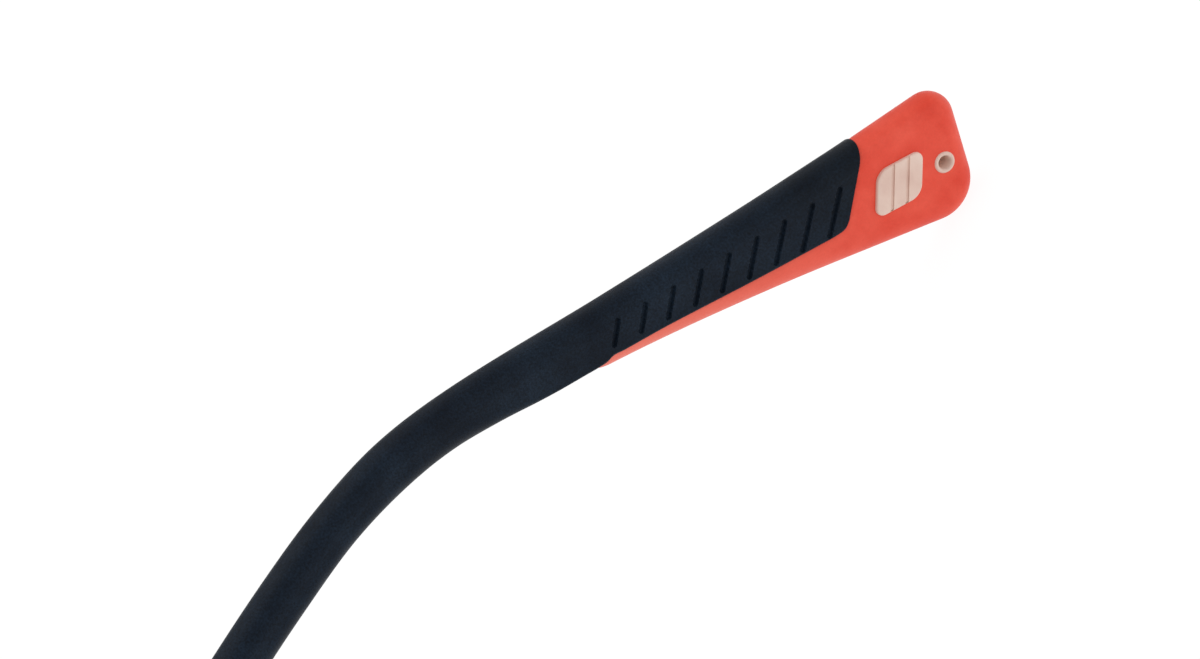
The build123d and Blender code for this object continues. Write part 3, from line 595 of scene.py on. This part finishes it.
@dataclass
class TempleSleeve:
    """Rubber sleeve over the temple's bend, with slanted grip grooves near its end."""

    shape: TempleShape
    ring_points: int = 128
    round_radius: float = 1.85
    edge_radius: float = 0.30
    square_from: float = 0.54
    square_over: float = 0.125
    coarse_step: float = 0.6
    fine_step: float = 0.075
    fine_from: float = 0.66
    lip: float = 0.16
    groove_count: int = 9
    groove_first: tuple[Point2, Point2] = ((106.55, -12.25), (104.72, -13.25))
    groove_last: tuple[Point2, Point2] = ((125.80, -24.02), (122.05, -25.70))
    groove_half_width: float = 0.24
    groove_depth: float = 0.36
    grooved_from: float = 103.5
    face_from: float = 0.8

    def lower_path(self) -> list[Vector]:
        """The sleeve's lower edge: along the temple's underside, then along its junction with the tip."""
        return smooth_path([*self.shape.sleeve_under, *self.shape.junction], PATH_STEP)

    def stations(self, length: float) -> list[float]:
        """Shares of the sleeve's length where its sections stand.

        Args:
            length: the sleeve's length.

        Returns:
            The shares, close together where the grooves and the end are.
        """
        shares = [0.0]
        while shares[-1] < 1.0:
            step = self.coarse_step if shares[-1] < self.fine_from else self.fine_step
            shares.append(min(1.0, shares[-1] + step / length))
        return shares

    def grooves(self) -> list[tuple[Vector, Vector]]:
        """Both ends of each groove, evenly spaced and growing longer towards the tip."""
        ends = []
        for k in range(self.groove_count):
            share = k / (self.groove_count - 1)
            top = Vector(self.groove_first[0]).lerp(Vector(self.groove_last[0]), share)
            low = Vector(self.groove_first[1]).lerp(Vector(self.groove_last[1]), share)
            ends.append((top, low))
        return ends

    def build(self) -> bmesh.types.BMesh:
        """Sweeps the sleeve's section along its two edges.

        Returns:
            The left sleeve, in the temple's plane, in mm.
        """
        mesh = bmesh.new()
        ring = bmesh.ops.create_circle(mesh, segments=self.ring_points, radius=1.0)["verts"]
        bmesh.ops.contextual_create(mesh, geom=ring)
        upper = smooth_path([*self.shape.upper, self.shape.sleeve_upper_end], PATH_STEP)
        lower = self.lower_path()
        length = sum((b - a).length for a, b in zip(upper, upper[1:]))
        edges = mesh.edges[:]
        for share in self.stations(length):
            if share > 0.0:
                ring, edges = self.grow(mesh, ring, edges)
            squared = smooth_step((share - self.square_from) / self.square_over)
            low_radius = self.round_radius + (self.edge_radius - self.round_radius) * squared
            to_end = (1.0 - share) * length
            tuck = 0.0
            if to_end < self.lip:
                tuck = self.lip - math.sqrt(self.lip**2 - (self.lip - to_end) ** 2)
            self.set_ring(ring, along(upper, share), along(lower, share), low_radius, tuck)
        bmesh.ops.contextual_create(mesh, geom=ring)
        self.press_grooves(mesh)
        bmesh.ops.recalc_face_normals(mesh, faces=mesh.faces)
        return mesh

    @staticmethod
    def grow(mesh: bmesh.types.BMesh, ring: Ring, edges: Edges) -> tuple[Ring, Edges]:
        """Adds the next section.

        Args:
            mesh: the sleeve so far.
            ring: the last section's vertices, in order.
            edges: its edges.

        Returns:
            The new section's vertices, in the same order, and its edges.
        """
        made = bmesh.ops.extrude_edge_only(mesh, edges=edges)["geom"]
        verts = {v for v in made if isinstance(v, bmesh.types.BMVert)}
        new_ring = [next(e.other_vert(v) for e in v.link_edges if e.other_vert(v) in verts) for v in ring]
        new_edges = [e for e in made if isinstance(e, bmesh.types.BMEdge) and verts.issuperset(e.verts)]
        return new_ring, new_edges

    def set_ring(self, ring: Ring, top: Vector, low: Vector, low_radius: float, tuck: float) -> None:
        """Shapes one section: a bar with flat faces, round above, and squarer below where it meets the tip.

        Args:
            ring: the section's vertices, in order.
            top: the section's top in the side view.
            low: its bottom.
            low_radius: radius of its lower corners.
            tuck: how far it draws in towards its middle, at the sleeve's end.
        """
        middle = (top + low) / 2
        half = (top - low) / 2
        tall = half.length - tuck
        wide = self.shape.half_width - tuck
        up = half.normalized()
        for k, vertex in enumerate(ring):
            rise = math.cos(2 * math.pi * k / len(ring))
            radius = min(self.round_radius if rise >= 0 else low_radius, tall)
            inward = min(radius, tall * (1.0 - abs(rise)))
            out = wide - radius + math.sqrt(radius**2 - (radius - inward) ** 2)
            if k in (0, len(ring) // 2):
                out = 0.0
            at = middle + up * (tall * rise)
            vertex.co = (at.x, at.y, out if k < len(ring) / 2 else -out)

    def press_grooves(self, mesh: bmesh.types.BMesh) -> None:
        """Sinks the grip grooves into both faces of the sleeve."""
        grooves = self.grooves()
        reach = self.groove_half_width
        for vertex in mesh.verts:
            if vertex.co.x < self.grooved_from or abs(vertex.co.z) < self.face_from:
                continue
            at = vertex.co.xy
            gap = min(self.distance(at, top, low) for top, low in grooves)
            if gap < reach:
                sink = self.groove_depth * math.sqrt(1.0 - (gap / reach) ** 2)
                vertex.co.z -= math.copysign(sink, vertex.co.z)

    @staticmethod
    def distance(at: Vector, top: Vector, low: Vector) -> float:
        """How far a point lies from a groove's line."""
        run = low - top
        share = min(1.0, max(0.0, (at - top).dot(run) / run.length_squared))
        return (at - top - run * share).length


@dataclass
class TempleTip:
    """Rubber tip that the sleeve grips: a flat blade with a full rounded edge."""

    shape: TempleShape
    half_width: float = 1.78
    rounding: float = 1.72
    buried_low: Point2 = (101.2, -13.4)
    buried_top: Point2 = (103.55, -10.22)
    buried_radius: float = 1.9
    under_back: int = 12
    covered: tuple[Point2, ...] = ((108.0, -12.75), (120.0, -19.45), (126.0, -22.35), (128.3, -23.20),
                                   (129.2, -23.46), (130.2, -23.87))
    covered_from: Point2 = (101.0, -11.9)
    covered_thinning: float = 0.3
    thinning_start: float = 0.1
    thinning_run: float = 0.5
    outline_step: float = 0.25
    outline_spacing: float = 0.22
    corner_steps: int = 16
    hole_radius: float = 0.84
    square: float = 0.4
    squares_from: Point2 = (101.0, -38.0)
    squares_to: Point2 = (139.0, -9.0)
    steps: int = 11
    smoothed_above: float = 0.9

    def outline(self) -> list[Vector]:
        """The blade's side view: bare at its edge, and drawn in where the sleeve covers it."""
        shape = self.shape
        top, low = Vector(shape.top_corner), Vector(shape.low_corner)
        buried_low, buried_top = Vector(self.buried_low), Vector(self.buried_top)
        inner = smooth_path([buried_top, *self.covered], self.outline_step)
        under = [p for p in smooth_path(shape.lower, self.outline_step)[::-1] if p.x > buried_low.x]
        return self.evenly([
            *[p for p in inner if (p - buried_top).length > self.buried_radius],
            *self.rounded_corner(Vector(shape.upper[-1]), top, low, shape.top_radius),
            *self.rounded_corner(top, low, Vector(shape.lower[-1]), shape.low_radius),
            *[p for p in under if (p - buried_low).length > self.buried_radius],
            *self.rounded_corner(under[-self.under_back], buried_low, buried_top, self.buried_radius),
            *self.rounded_corner(buried_low, buried_top, Vector(self.covered[0]), self.buried_radius),
        ])

    def rounded_corner(self, before: Vector, corner: Vector, after: Vector, radius: float) -> list[Vector]:
        """An arc that rounds a corner.

        Args:
            before: a point on the side that leads to the corner.
            corner: the sharp corner.
            after: a point on the side that leaves it.
            radius: the arc's radius.

        Returns:
            Points along the arc.
        """
        enter = (before - corner).normalized()
        leave = (after - corner).normalized()
        half = enter.angle(leave) / 2
        centre = corner + (enter + leave).normalized() * (radius / math.sin(half))
        start = corner + enter * (radius / math.tan(half)) - centre
        stop = corner + leave * (radius / math.tan(half)) - centre
        sweep = start.angle(stop)
        arc = []
        for k in range(self.corner_steps + 1):
            u = k / self.corner_steps
            turned = start * math.sin((1 - u) * sweep) + stop * math.sin(u * sweep)
            arc.append(centre + turned / math.sin(sweep))
        return arc

    def evenly(self, points: Sequence[Vector]) -> list[Vector]:
        """Spaces the points of a closed outline evenly.

        Args:
            points: the outline.

        Returns:
            The same outline's new points.
        """
        closed = [*points, points[0]]
        total = sum((b - a).length for a, b in zip(closed, closed[1:]))
        count = int(total / self.outline_spacing)
        spaced: list[Vector] = []
        walked = 0.0
        k = 0
        for a, b in zip(closed, closed[1:]):
            step = (b - a).length
            while k < count and k * total / count <= walked + step:
                spaced.append(a.lerp(b, (k * total / count - walked) / step if step else 0.0))
                k += 1
            walked += step
        return spaced

    def build(self) -> bmesh.types.BMesh:
        """Raises the blade from its outline in steps that round its edge, on both faces.

        Returns:
            The left tip, in the temple's plane, in mm.
        """
        mesh = bmesh.new()
        for point in self.outline():
            bmesh.ops.create_vert(mesh, co=(point.x, point.y, 0.0))
        mesh.verts.ensure_lookup_table()
        face = mesh.faces.new(mesh.verts)
        mesh.normal_update()
        if face.normal.z < 0:
            face.normal_flip()
        inner = 0.0
        faces = [face]
        for k in range(1, self.steps + 1):
            turn = math.pi / 2 * k / self.steps
            reach = self.rounding * (1 - math.cos(turn))
            height = self.half_width * math.sin(turn)
            bmesh.ops.inset_region(mesh, faces=faces, thickness=reach - inner, depth=0.0,
                                   use_even_offset=True, use_boundary=True)
            for vertex in faces[0].verts:
                vertex.co.z = height
            inner = reach
        inner_rings = [v for v in mesh.verts if v.co.z > self.half_width * self.smoothed_above]
        bmesh.ops.smooth_vert(mesh, verts=inner_rings, factor=0.5, use_axis_x=True, use_axis_y=True)
        self.divide(mesh)
        self.thin_under_sleeve(mesh)
        self.open_hole(mesh)
        upper = mesh.faces[:] + mesh.edges[:] + mesh.verts[:]
        bmesh.ops.mirror(mesh, geom=upper, axis="Z", merge_dist=SAME_PLACE)
        bmesh.ops.remove_doubles(mesh, verts=mesh.verts, dist=SAME_PLACE)
        rims = [e for e in mesh.edges if e.is_boundary]
        bmesh.ops.bridge_loops(mesh, edges=rims)
        bmesh.ops.recalc_face_normals(mesh, faces=mesh.faces)
        return mesh

    def divide(self, mesh: bmesh.types.BMesh) -> None:
        """Cuts the blade's flat face into small squares."""
        face = max(mesh.faces, key=lambda f: f.calc_center_median().z * len(f.verts))
        geom = [face, *face.edges, *face.verts]
        across = (Vector((1, 0, 0)), Vector((0, 1, 0)))
        for normal, low, high in zip(across, self.squares_from, self.squares_to):
            for k in range(int((high - low) / self.square)):
                at = normal * (low + k * self.square)
                geom = bmesh.ops.bisect_plane(mesh, geom=geom, plane_co=at, plane_no=normal)["geom"]

    def thin_under_sleeve(self, mesh: bmesh.types.BMesh) -> None:
        """Draws the blade in where the sleeve covers it, so that it clears the sleeve's grooves."""
        shape = self.shape
        edge = smooth_path([self.covered_from, *shape.junction, shape.sleeve_upper_end], 3 * PATH_STEP)
        pairs = [(start, stop, (start + stop) / 2) for start, stop in zip(edge, edge[1:])]
        for vertex in mesh.verts:
            if vertex.co.z <= 0:
                continue
            at = vertex.co.xy
            start, stop, _ = min(pairs, key=lambda pair: (at - pair[2]).length_squared)
            inside = (stop - start).normalized().cross(at - start)
            share = smooth_step((inside - self.thinning_start) / self.thinning_run)
            vertex.co.z *= 1.0 - self.covered_thinning * share

    def open_hole(self, mesh: bmesh.types.BMesh) -> None:
        """Opens the eyelet's hole in the blade's face, with its rim hidden under the eyelet's flange."""
        centre = Vector(EYELET_CENTRE)
        reach = self.hole_radius - self.square / 4
        inside = [f for f in mesh.faces if (f.calc_center_median().xy - centre).length < reach]
        rim = {v for f in inside for v in f.verts}
        bmesh.ops.delete(mesh, geom=inside, context="FACES")
        for vertex in rim:
            if vertex.is_valid:
                out = (vertex.co.xy - centre).normalized() * self.hole_radius
                vertex.co.xy = centre + out


@dataclass
class TipBadge:
    """Plain raised lozenge let into the tip, with two fine grooves across it."""

    centre: Point2 = (128.9, -28.8)
    across: float = 4.6
    high: float = 3.9
    lean: float = 0.7
    sunk: float = 0.5
    proud: float = 0.34
    corner: float = 1.0
    rim: float = 0.17
    grooves: tuple[float, ...] = (-0.75, 0.75)
    groove_half_width: float = 0.17
    groove_depth: float = 0.16
    turn: float = math.radians(-34)

    def build(self, base: float) -> bmesh.types.BMesh:
        """Models the lozenge.

        Args:
            base: height of the tip's face, in mm.

        Returns:
            The left badge, in the temple's plane, in mm.
        """
        mesh = bmesh.new()
        bmesh.ops.create_cube(mesh, size=1.0)
        tall = self.sunk + self.proud
        for vertex in mesh.verts:
            x, y, z = vertex.co
            level = base - self.sunk + (z + 0.5) * tall
            vertex.co = (x * self.across + 2 * y * self.lean, y * self.high, level)
        upright = [e for e in mesh.edges if abs(e.verts[0].co.z - e.verts[1].co.z) > tall / 2]
        bmesh.ops.bevel(mesh, geom=upright, offset=self.corner, segments=10, profile=0.5, affect="EDGES",
                        material=-1)
        top = base + self.proud
        rim = [e for e in mesh.edges if all(abs(v.co.z - top) < SAME_PLACE for v in e.verts)]
        bmesh.ops.bevel(mesh, geom=rim, offset=self.rim, segments=4, profile=0.5, affect="EDGES", material=-1)
        for middle in self.grooves:
            self.cut_groove(mesh, middle, top)
        bmesh.ops.recalc_face_normals(mesh, faces=mesh.faces)
        bmesh.ops.rotate(mesh, verts=mesh.verts, cent=(0, 0, 0), matrix=Matrix.Rotation(self.turn, 3, "Z"))
        bmesh.ops.translate(mesh, verts=mesh.verts, vec=(*self.centre, 0.0))
        return mesh

    def cut_groove(self, mesh: bmesh.types.BMesh, middle: float, top: float) -> None:
        """Cuts one groove across the lozenge, along its slanted ends.

        Args:
            mesh: the lozenge, before it is turned and placed.
            middle: the groove's middle, along the lozenge.
            top: height of the lozenge's face.
        """
        slant = Vector((self.high, -2 * self.lean, 0)).normalized()
        for edge in (-self.groove_half_width, self.groove_half_width):
            whole = mesh.verts[:] + mesh.edges[:] + mesh.faces[:]
            bmesh.ops.bisect_plane(mesh, geom=whole, plane_co=(middle + edge, 0, 0), plane_no=slant)
        strip = []
        for face in mesh.faces:
            at = face.calc_center_median()
            beside = abs((at - Vector((middle, 0, 0))).dot(slant))
            if at.z > top - self.rim / 2 and beside < self.groove_half_width:
                strip.append(face)
        pressed = bmesh.ops.extrude_face_region(mesh, geom=strip)["geom"]
        floor = [g for g in pressed if isinstance(g, bmesh.types.BMVert)]
        bmesh.ops.delete(mesh, geom=strip, context="FACES")
        bmesh.ops.translate(mesh, verts=floor, vec=(0, 0, -self.groove_depth))


@dataclass
class CordEyelet:
    """Flanged bush that lines the hole for a retaining cord."""

    centre: Point2 = EYELET_CENTRE
    outer: float = 0.95
    bore: float = 0.6
    half_length: float = 1.95
    lip: float = 0.14
    steps: int = 40

    def build(self) -> bmesh.types.BMesh:
        """Turns the bush's section round its hole.

        Returns:
            The left bush, in the temple's plane, in mm.
        """
        mesh = bmesh.new()
        half, lip = self.half_length, self.lip
        face = [(self.bore, half - lip), (self.bore + lip, half), (self.outer - lip, half),
                (self.outer, half - lip)]
        section = [*face, *((radius, -height) for radius, height in reversed(face))]
        for radius, height in section:
            bmesh.ops.create_vert(mesh, co=(radius, 0.0, height))
        mesh.verts.ensure_lookup_table()
        loop = [mesh.edges.new((a, b)) for a, b in zip(mesh.verts, mesh.verts[1:] + [mesh.verts[0]])]
        bmesh.ops.spin(mesh, geom=loop + list(mesh.verts), cent=(0, 0, 0), axis=(0, 0, 1), angle=2 * math.pi,
                       steps=self.steps, use_merge=True)
        bmesh.ops.remove_doubles(mesh, verts=mesh.verts, dist=SAME_PLACE)
        bmesh.ops.recalc_face_normals(mesh, faces=mesh.faces)
        bmesh.ops.translate(mesh, verts=mesh.verts, vec=(*self.centre, 0.0))
        return mesh


@dataclass
class TempleEnds:
    """Sleeve, tip, badge and eyelet of both temples."""

    shape: TempleShape
    plane: TemplePlane
    crease: float = 50.0

    def build(self) -> None:
        """Builds the left pieces and their mirrored twins."""
        tip = TempleTip(self.shape)
        makers: dict[str, tuple[Callable[[], bmesh.types.BMesh], Finish, str, str]] = {
            "sleeve": (TempleSleeve(self.shape).build, NAVY_RUBBER, "temple_sleeve", "navy_rubber"),
            "tip": (tip.build, ORANGE_RUBBER, "tip_core", "orange_rubber"),
            "badge": (lambda: TipBadge().build(tip.half_width), CREAM_INLAY, "tip_badge", "cream_plastic"),
            "eyelet": (CordEyelet().build, CREAM_INLAY, "tip_eyelet", "cream_plastic"),
        }
        for side in Side:
            for name, (make, finish, node, slot) in makers.items():
                mesh = make()
                bmesh.ops.transform(mesh, matrix=self.plane.matrix(), verts=mesh.verts)
                if side is Side.RIGHT:
                    bmesh.ops.scale(mesh, vec=(side.value, 1, 1), verts=mesh.verts)
                    bmesh.ops.reverse_faces(mesh, faces=mesh.faces)
                crease_by_angle(mesh, self.crease)
                title = f"temple_{name}_{side.tag}"
                piece = finished_piece(title, mesh, finish.material(), f"temple_{side.short}")
                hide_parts(f"{node}_{side.tag}")


# ---- carried-over parts -------------------------------------------------------------------------------
@dataclass(frozen=True)
class CadDressing:
    """Finishes for the parts that keep their machined or moulded shape."""

    edge: float = 0.12 * MM
    lens_gap: float = 0.07 * MM
    weld: float = 0.001 * MM
    sharp: float = math.radians(35)
    finishes: dict[str, Finish | GlassFinish] = field(default_factory=lambda: {
        "front_frame": NAVY_NYLON, "temple_arm": NAVY_NYLON, "wrap_lens": SHIELD_GLASS,
        "arm_inlay": ORANGE_RUBBER, "lever_grip": ORANGE_RUBBER, "bridge_mount": BLACK_ANODISED,
        "height_slider": BLACK_ANODISED, "flip_arm": BLACK_ANODISED, "end_plate": BLACK_ANODISED,
        "barrel_body": BLACK_ANODISED, "carrier": BLACK_NYLON, "clamp_ring": BLACK_NYLON,
        "eyepiece_ring": BLACK_NYLON, "flip_washers": BLACK_NYLON, "eye_bumper": BUMPER_RUBBER,
        "objective_bezel": ORANGE_ANODISED, "pd_knob": ORANGE_ANODISED, "height_knob": ORANGE_ANODISED,
        "objective_lens": COATED_GLASS, "eyepiece_lens": COATED_GLASS, "guide_rod": GROUND_STEEL,
        "pd_spindle": GROUND_STEEL, "nose_pad_arm": GROUND_STEEL, "temple_core": GROUND_STEEL,
        "bridge_screws": SCREW_STEEL, "flip_axle": SCREW_STEEL, "hinge_screw": SCREW_STEEL,
        "convergence_pin": SCREW_STEEL, "nose_pad": PAD_SILICONE,
    })

    def dress(self) -> None:
        """Gives every shown node its material, softened edges and smooth shading."""
        for name, node in frame["nodes"].items():
            base = name.removesuffix("_left").removesuffix("_right")
            finish = self.finishes.get(base)
            if finish is None or node.hide_render:
                continue
            node.data.materials.clear()
            node.data.materials.append(finish.material())
            self.soften(node, self.lens_gap if base == "wrap_lens" else 0.0)
            LOG.info("%s: %s", name, finish.name)

    def soften(self, node: bpy.types.Object, gap: float) -> None:
        """Joins the node's loose faces and rounds its edges, without touching its mesh.

        Args:
            node: the CAD node.
            gap: how far its faces draw back from the piece that it is set in.
        """
        if "custom_normal" in node.data.attributes:
            node.data.attributes.remove(node.data.attributes["custom_normal"])
        node.data.shade_smooth()
        weld = node.modifiers.new("weld", "WELD")
        weld.merge_threshold = self.weld
        if gap:
            shrink = node.modifiers.new("gap", "DISPLACE")
            shrink.strength = -gap
            shrink.mid_level = 0.0
        bevel = node.modifiers.new("edges", "BEVEL")
        bevel.width = self.edge
        bevel.segments = 2
        bevel.limit_method = "ANGLE"
        bevel.angle_limit = self.sharp
        bevel.harden_normals = True


# ---- studio -------------------------------------------------------------------------------------------
@dataclass(frozen=True)
class Softbox:
    """A square area light that faces the loupes. Its place and size are in metres, its power in watts."""

    name: str
    at: tuple[float, float, float]
    size: float
    power: float

    def build(self) -> None:
        """Hangs the light."""
        light = bpy.data.lights.new(self.name, "AREA")
        light.size = self.size
        light.energy = self.power
        lamp = bpy.data.objects.new(self.name, light)
        lamp.location = self.at
        lamp.rotation_euler = (Vector(AIM) - Vector(self.at)).to_track_quat("-Z", "Y").to_euler()
        lamp.visible_camera = False
        bpy.context.scene.collection.objects.link(lamp)


@dataclass(frozen=True)
class Studio:
    """White table, soft lights and the camera over the wearer's left temple."""

    plane: TemplePlane
    lights: tuple[Softbox, ...] = (Softbox("key", (-0.25, 0.15, 0.95), 0.9, 3.0),
                                   Softbox("fill", (0.9, 0.75, 0.35), 0.7, 1.5))
    table_half: float = 3.0
    table_tone: float = 0.14
    table_glow: float = 0.92
    lens: float = 540.0
    elevation: float = math.radians(34.0)
    roll: float = math.radians(57.5)
    ambient: float = 0.6
    eye: tuple[float, float, float] = (105.145, 826.285, 1243.556)

    def build(self) -> None:
        """Builds table, world, lights and camera."""
        self.table()
        self.world()
        for light in self.lights:
            light.build()
        self.camera()
        bpy.context.scene.view_settings.view_transform = "Standard"

    def table(self) -> None:
        """A wide white table top, bright enough to blend into the background."""
        mesh = bmesh.new()
        bmesh.ops.create_grid(mesh, x_segments=1, y_segments=1, size=self.table_half)
        data = bpy.data.meshes.new("table")
        mesh.to_mesh(data)
        mesh.free()
        top = bpy.data.objects.new("table", data)
        bpy.context.scene.collection.objects.link(top)
        paint = bpy.data.materials.new("table_white")
        paint.use_nodes = True
        shader = paint.node_tree.nodes["Principled BSDF"]
        shader.inputs["Base Color"].default_value = (*[self.table_tone] * 3, 1.0)
        shader.inputs["Roughness"].default_value = 0.8
        shader.inputs["Specular IOR Level"].default_value = 0.0
        shader.inputs["Emission Color"].default_value = WHITE
        shader.inputs["Emission Strength"].default_value = self.table_glow
        data.materials.append(paint)

    def world(self) -> None:
        """Even white surroundings."""
        world = bpy.data.worlds.new("studio")
        world.use_nodes = True
        desk = NodeDesk(world.node_tree)
        sky = world.node_tree.nodes["Background"]
        sky.inputs["Color"].default_value = WHITE
        seen = desk.add("ShaderNodeLightPath")
        level = desk.span(seen.outputs["Is Camera Ray"], self.ambient, 1.0, 0.0, 1.0)
        desk.join(level, sky.inputs["Strength"])
        bpy.context.scene.world = world

    def camera(self) -> None:
        """A long lens above the temple's outer face, turned so that the temple climbs to the right."""
        up_tilt = Vector((0, math.cos(self.elevation), -math.sin(self.elevation)))
        level = Vector((1, 0, 0))
        right = level * math.cos(self.roll) - up_tilt * math.sin(self.roll)
        up = level * math.sin(self.roll) + up_tilt * math.cos(self.roll)
        back = right.cross(up)
        turn = self.plane.matrix().to_3x3() @ Matrix((right, up, back)).transposed()
        data = bpy.data.cameras.new("camera")
        data.lens = self.lens
        data.sensor_width = 36.0
        data.clip_start, data.clip_end = 0.1, 20.0
        camera = bpy.data.objects.new("camera", data)
        camera.matrix_world = Matrix.Translation(self.plane.place(*self.eye)) @ turn.normalized().to_4x4()
        bpy.context.scene.collection.objects.link(camera)
        bpy.context.scene.camera = camera


def main() -> None:
    """Builds the pieces in order, dresses the rest, and sets up the studio."""
    logging.basicConfig(level=logging.INFO, format="%(message)s")
    fold = next(j for j in frame["joints"] if j["name"] == "temple_fold_left")
    plane = TemplePlane(Vector(fold["pos_m"]) / MM)
    TempleEnds(TempleShape(), plane).build()
    CadDressing().dress()
    Studio(plane).build()


if __name__ == "__main__":
    main()
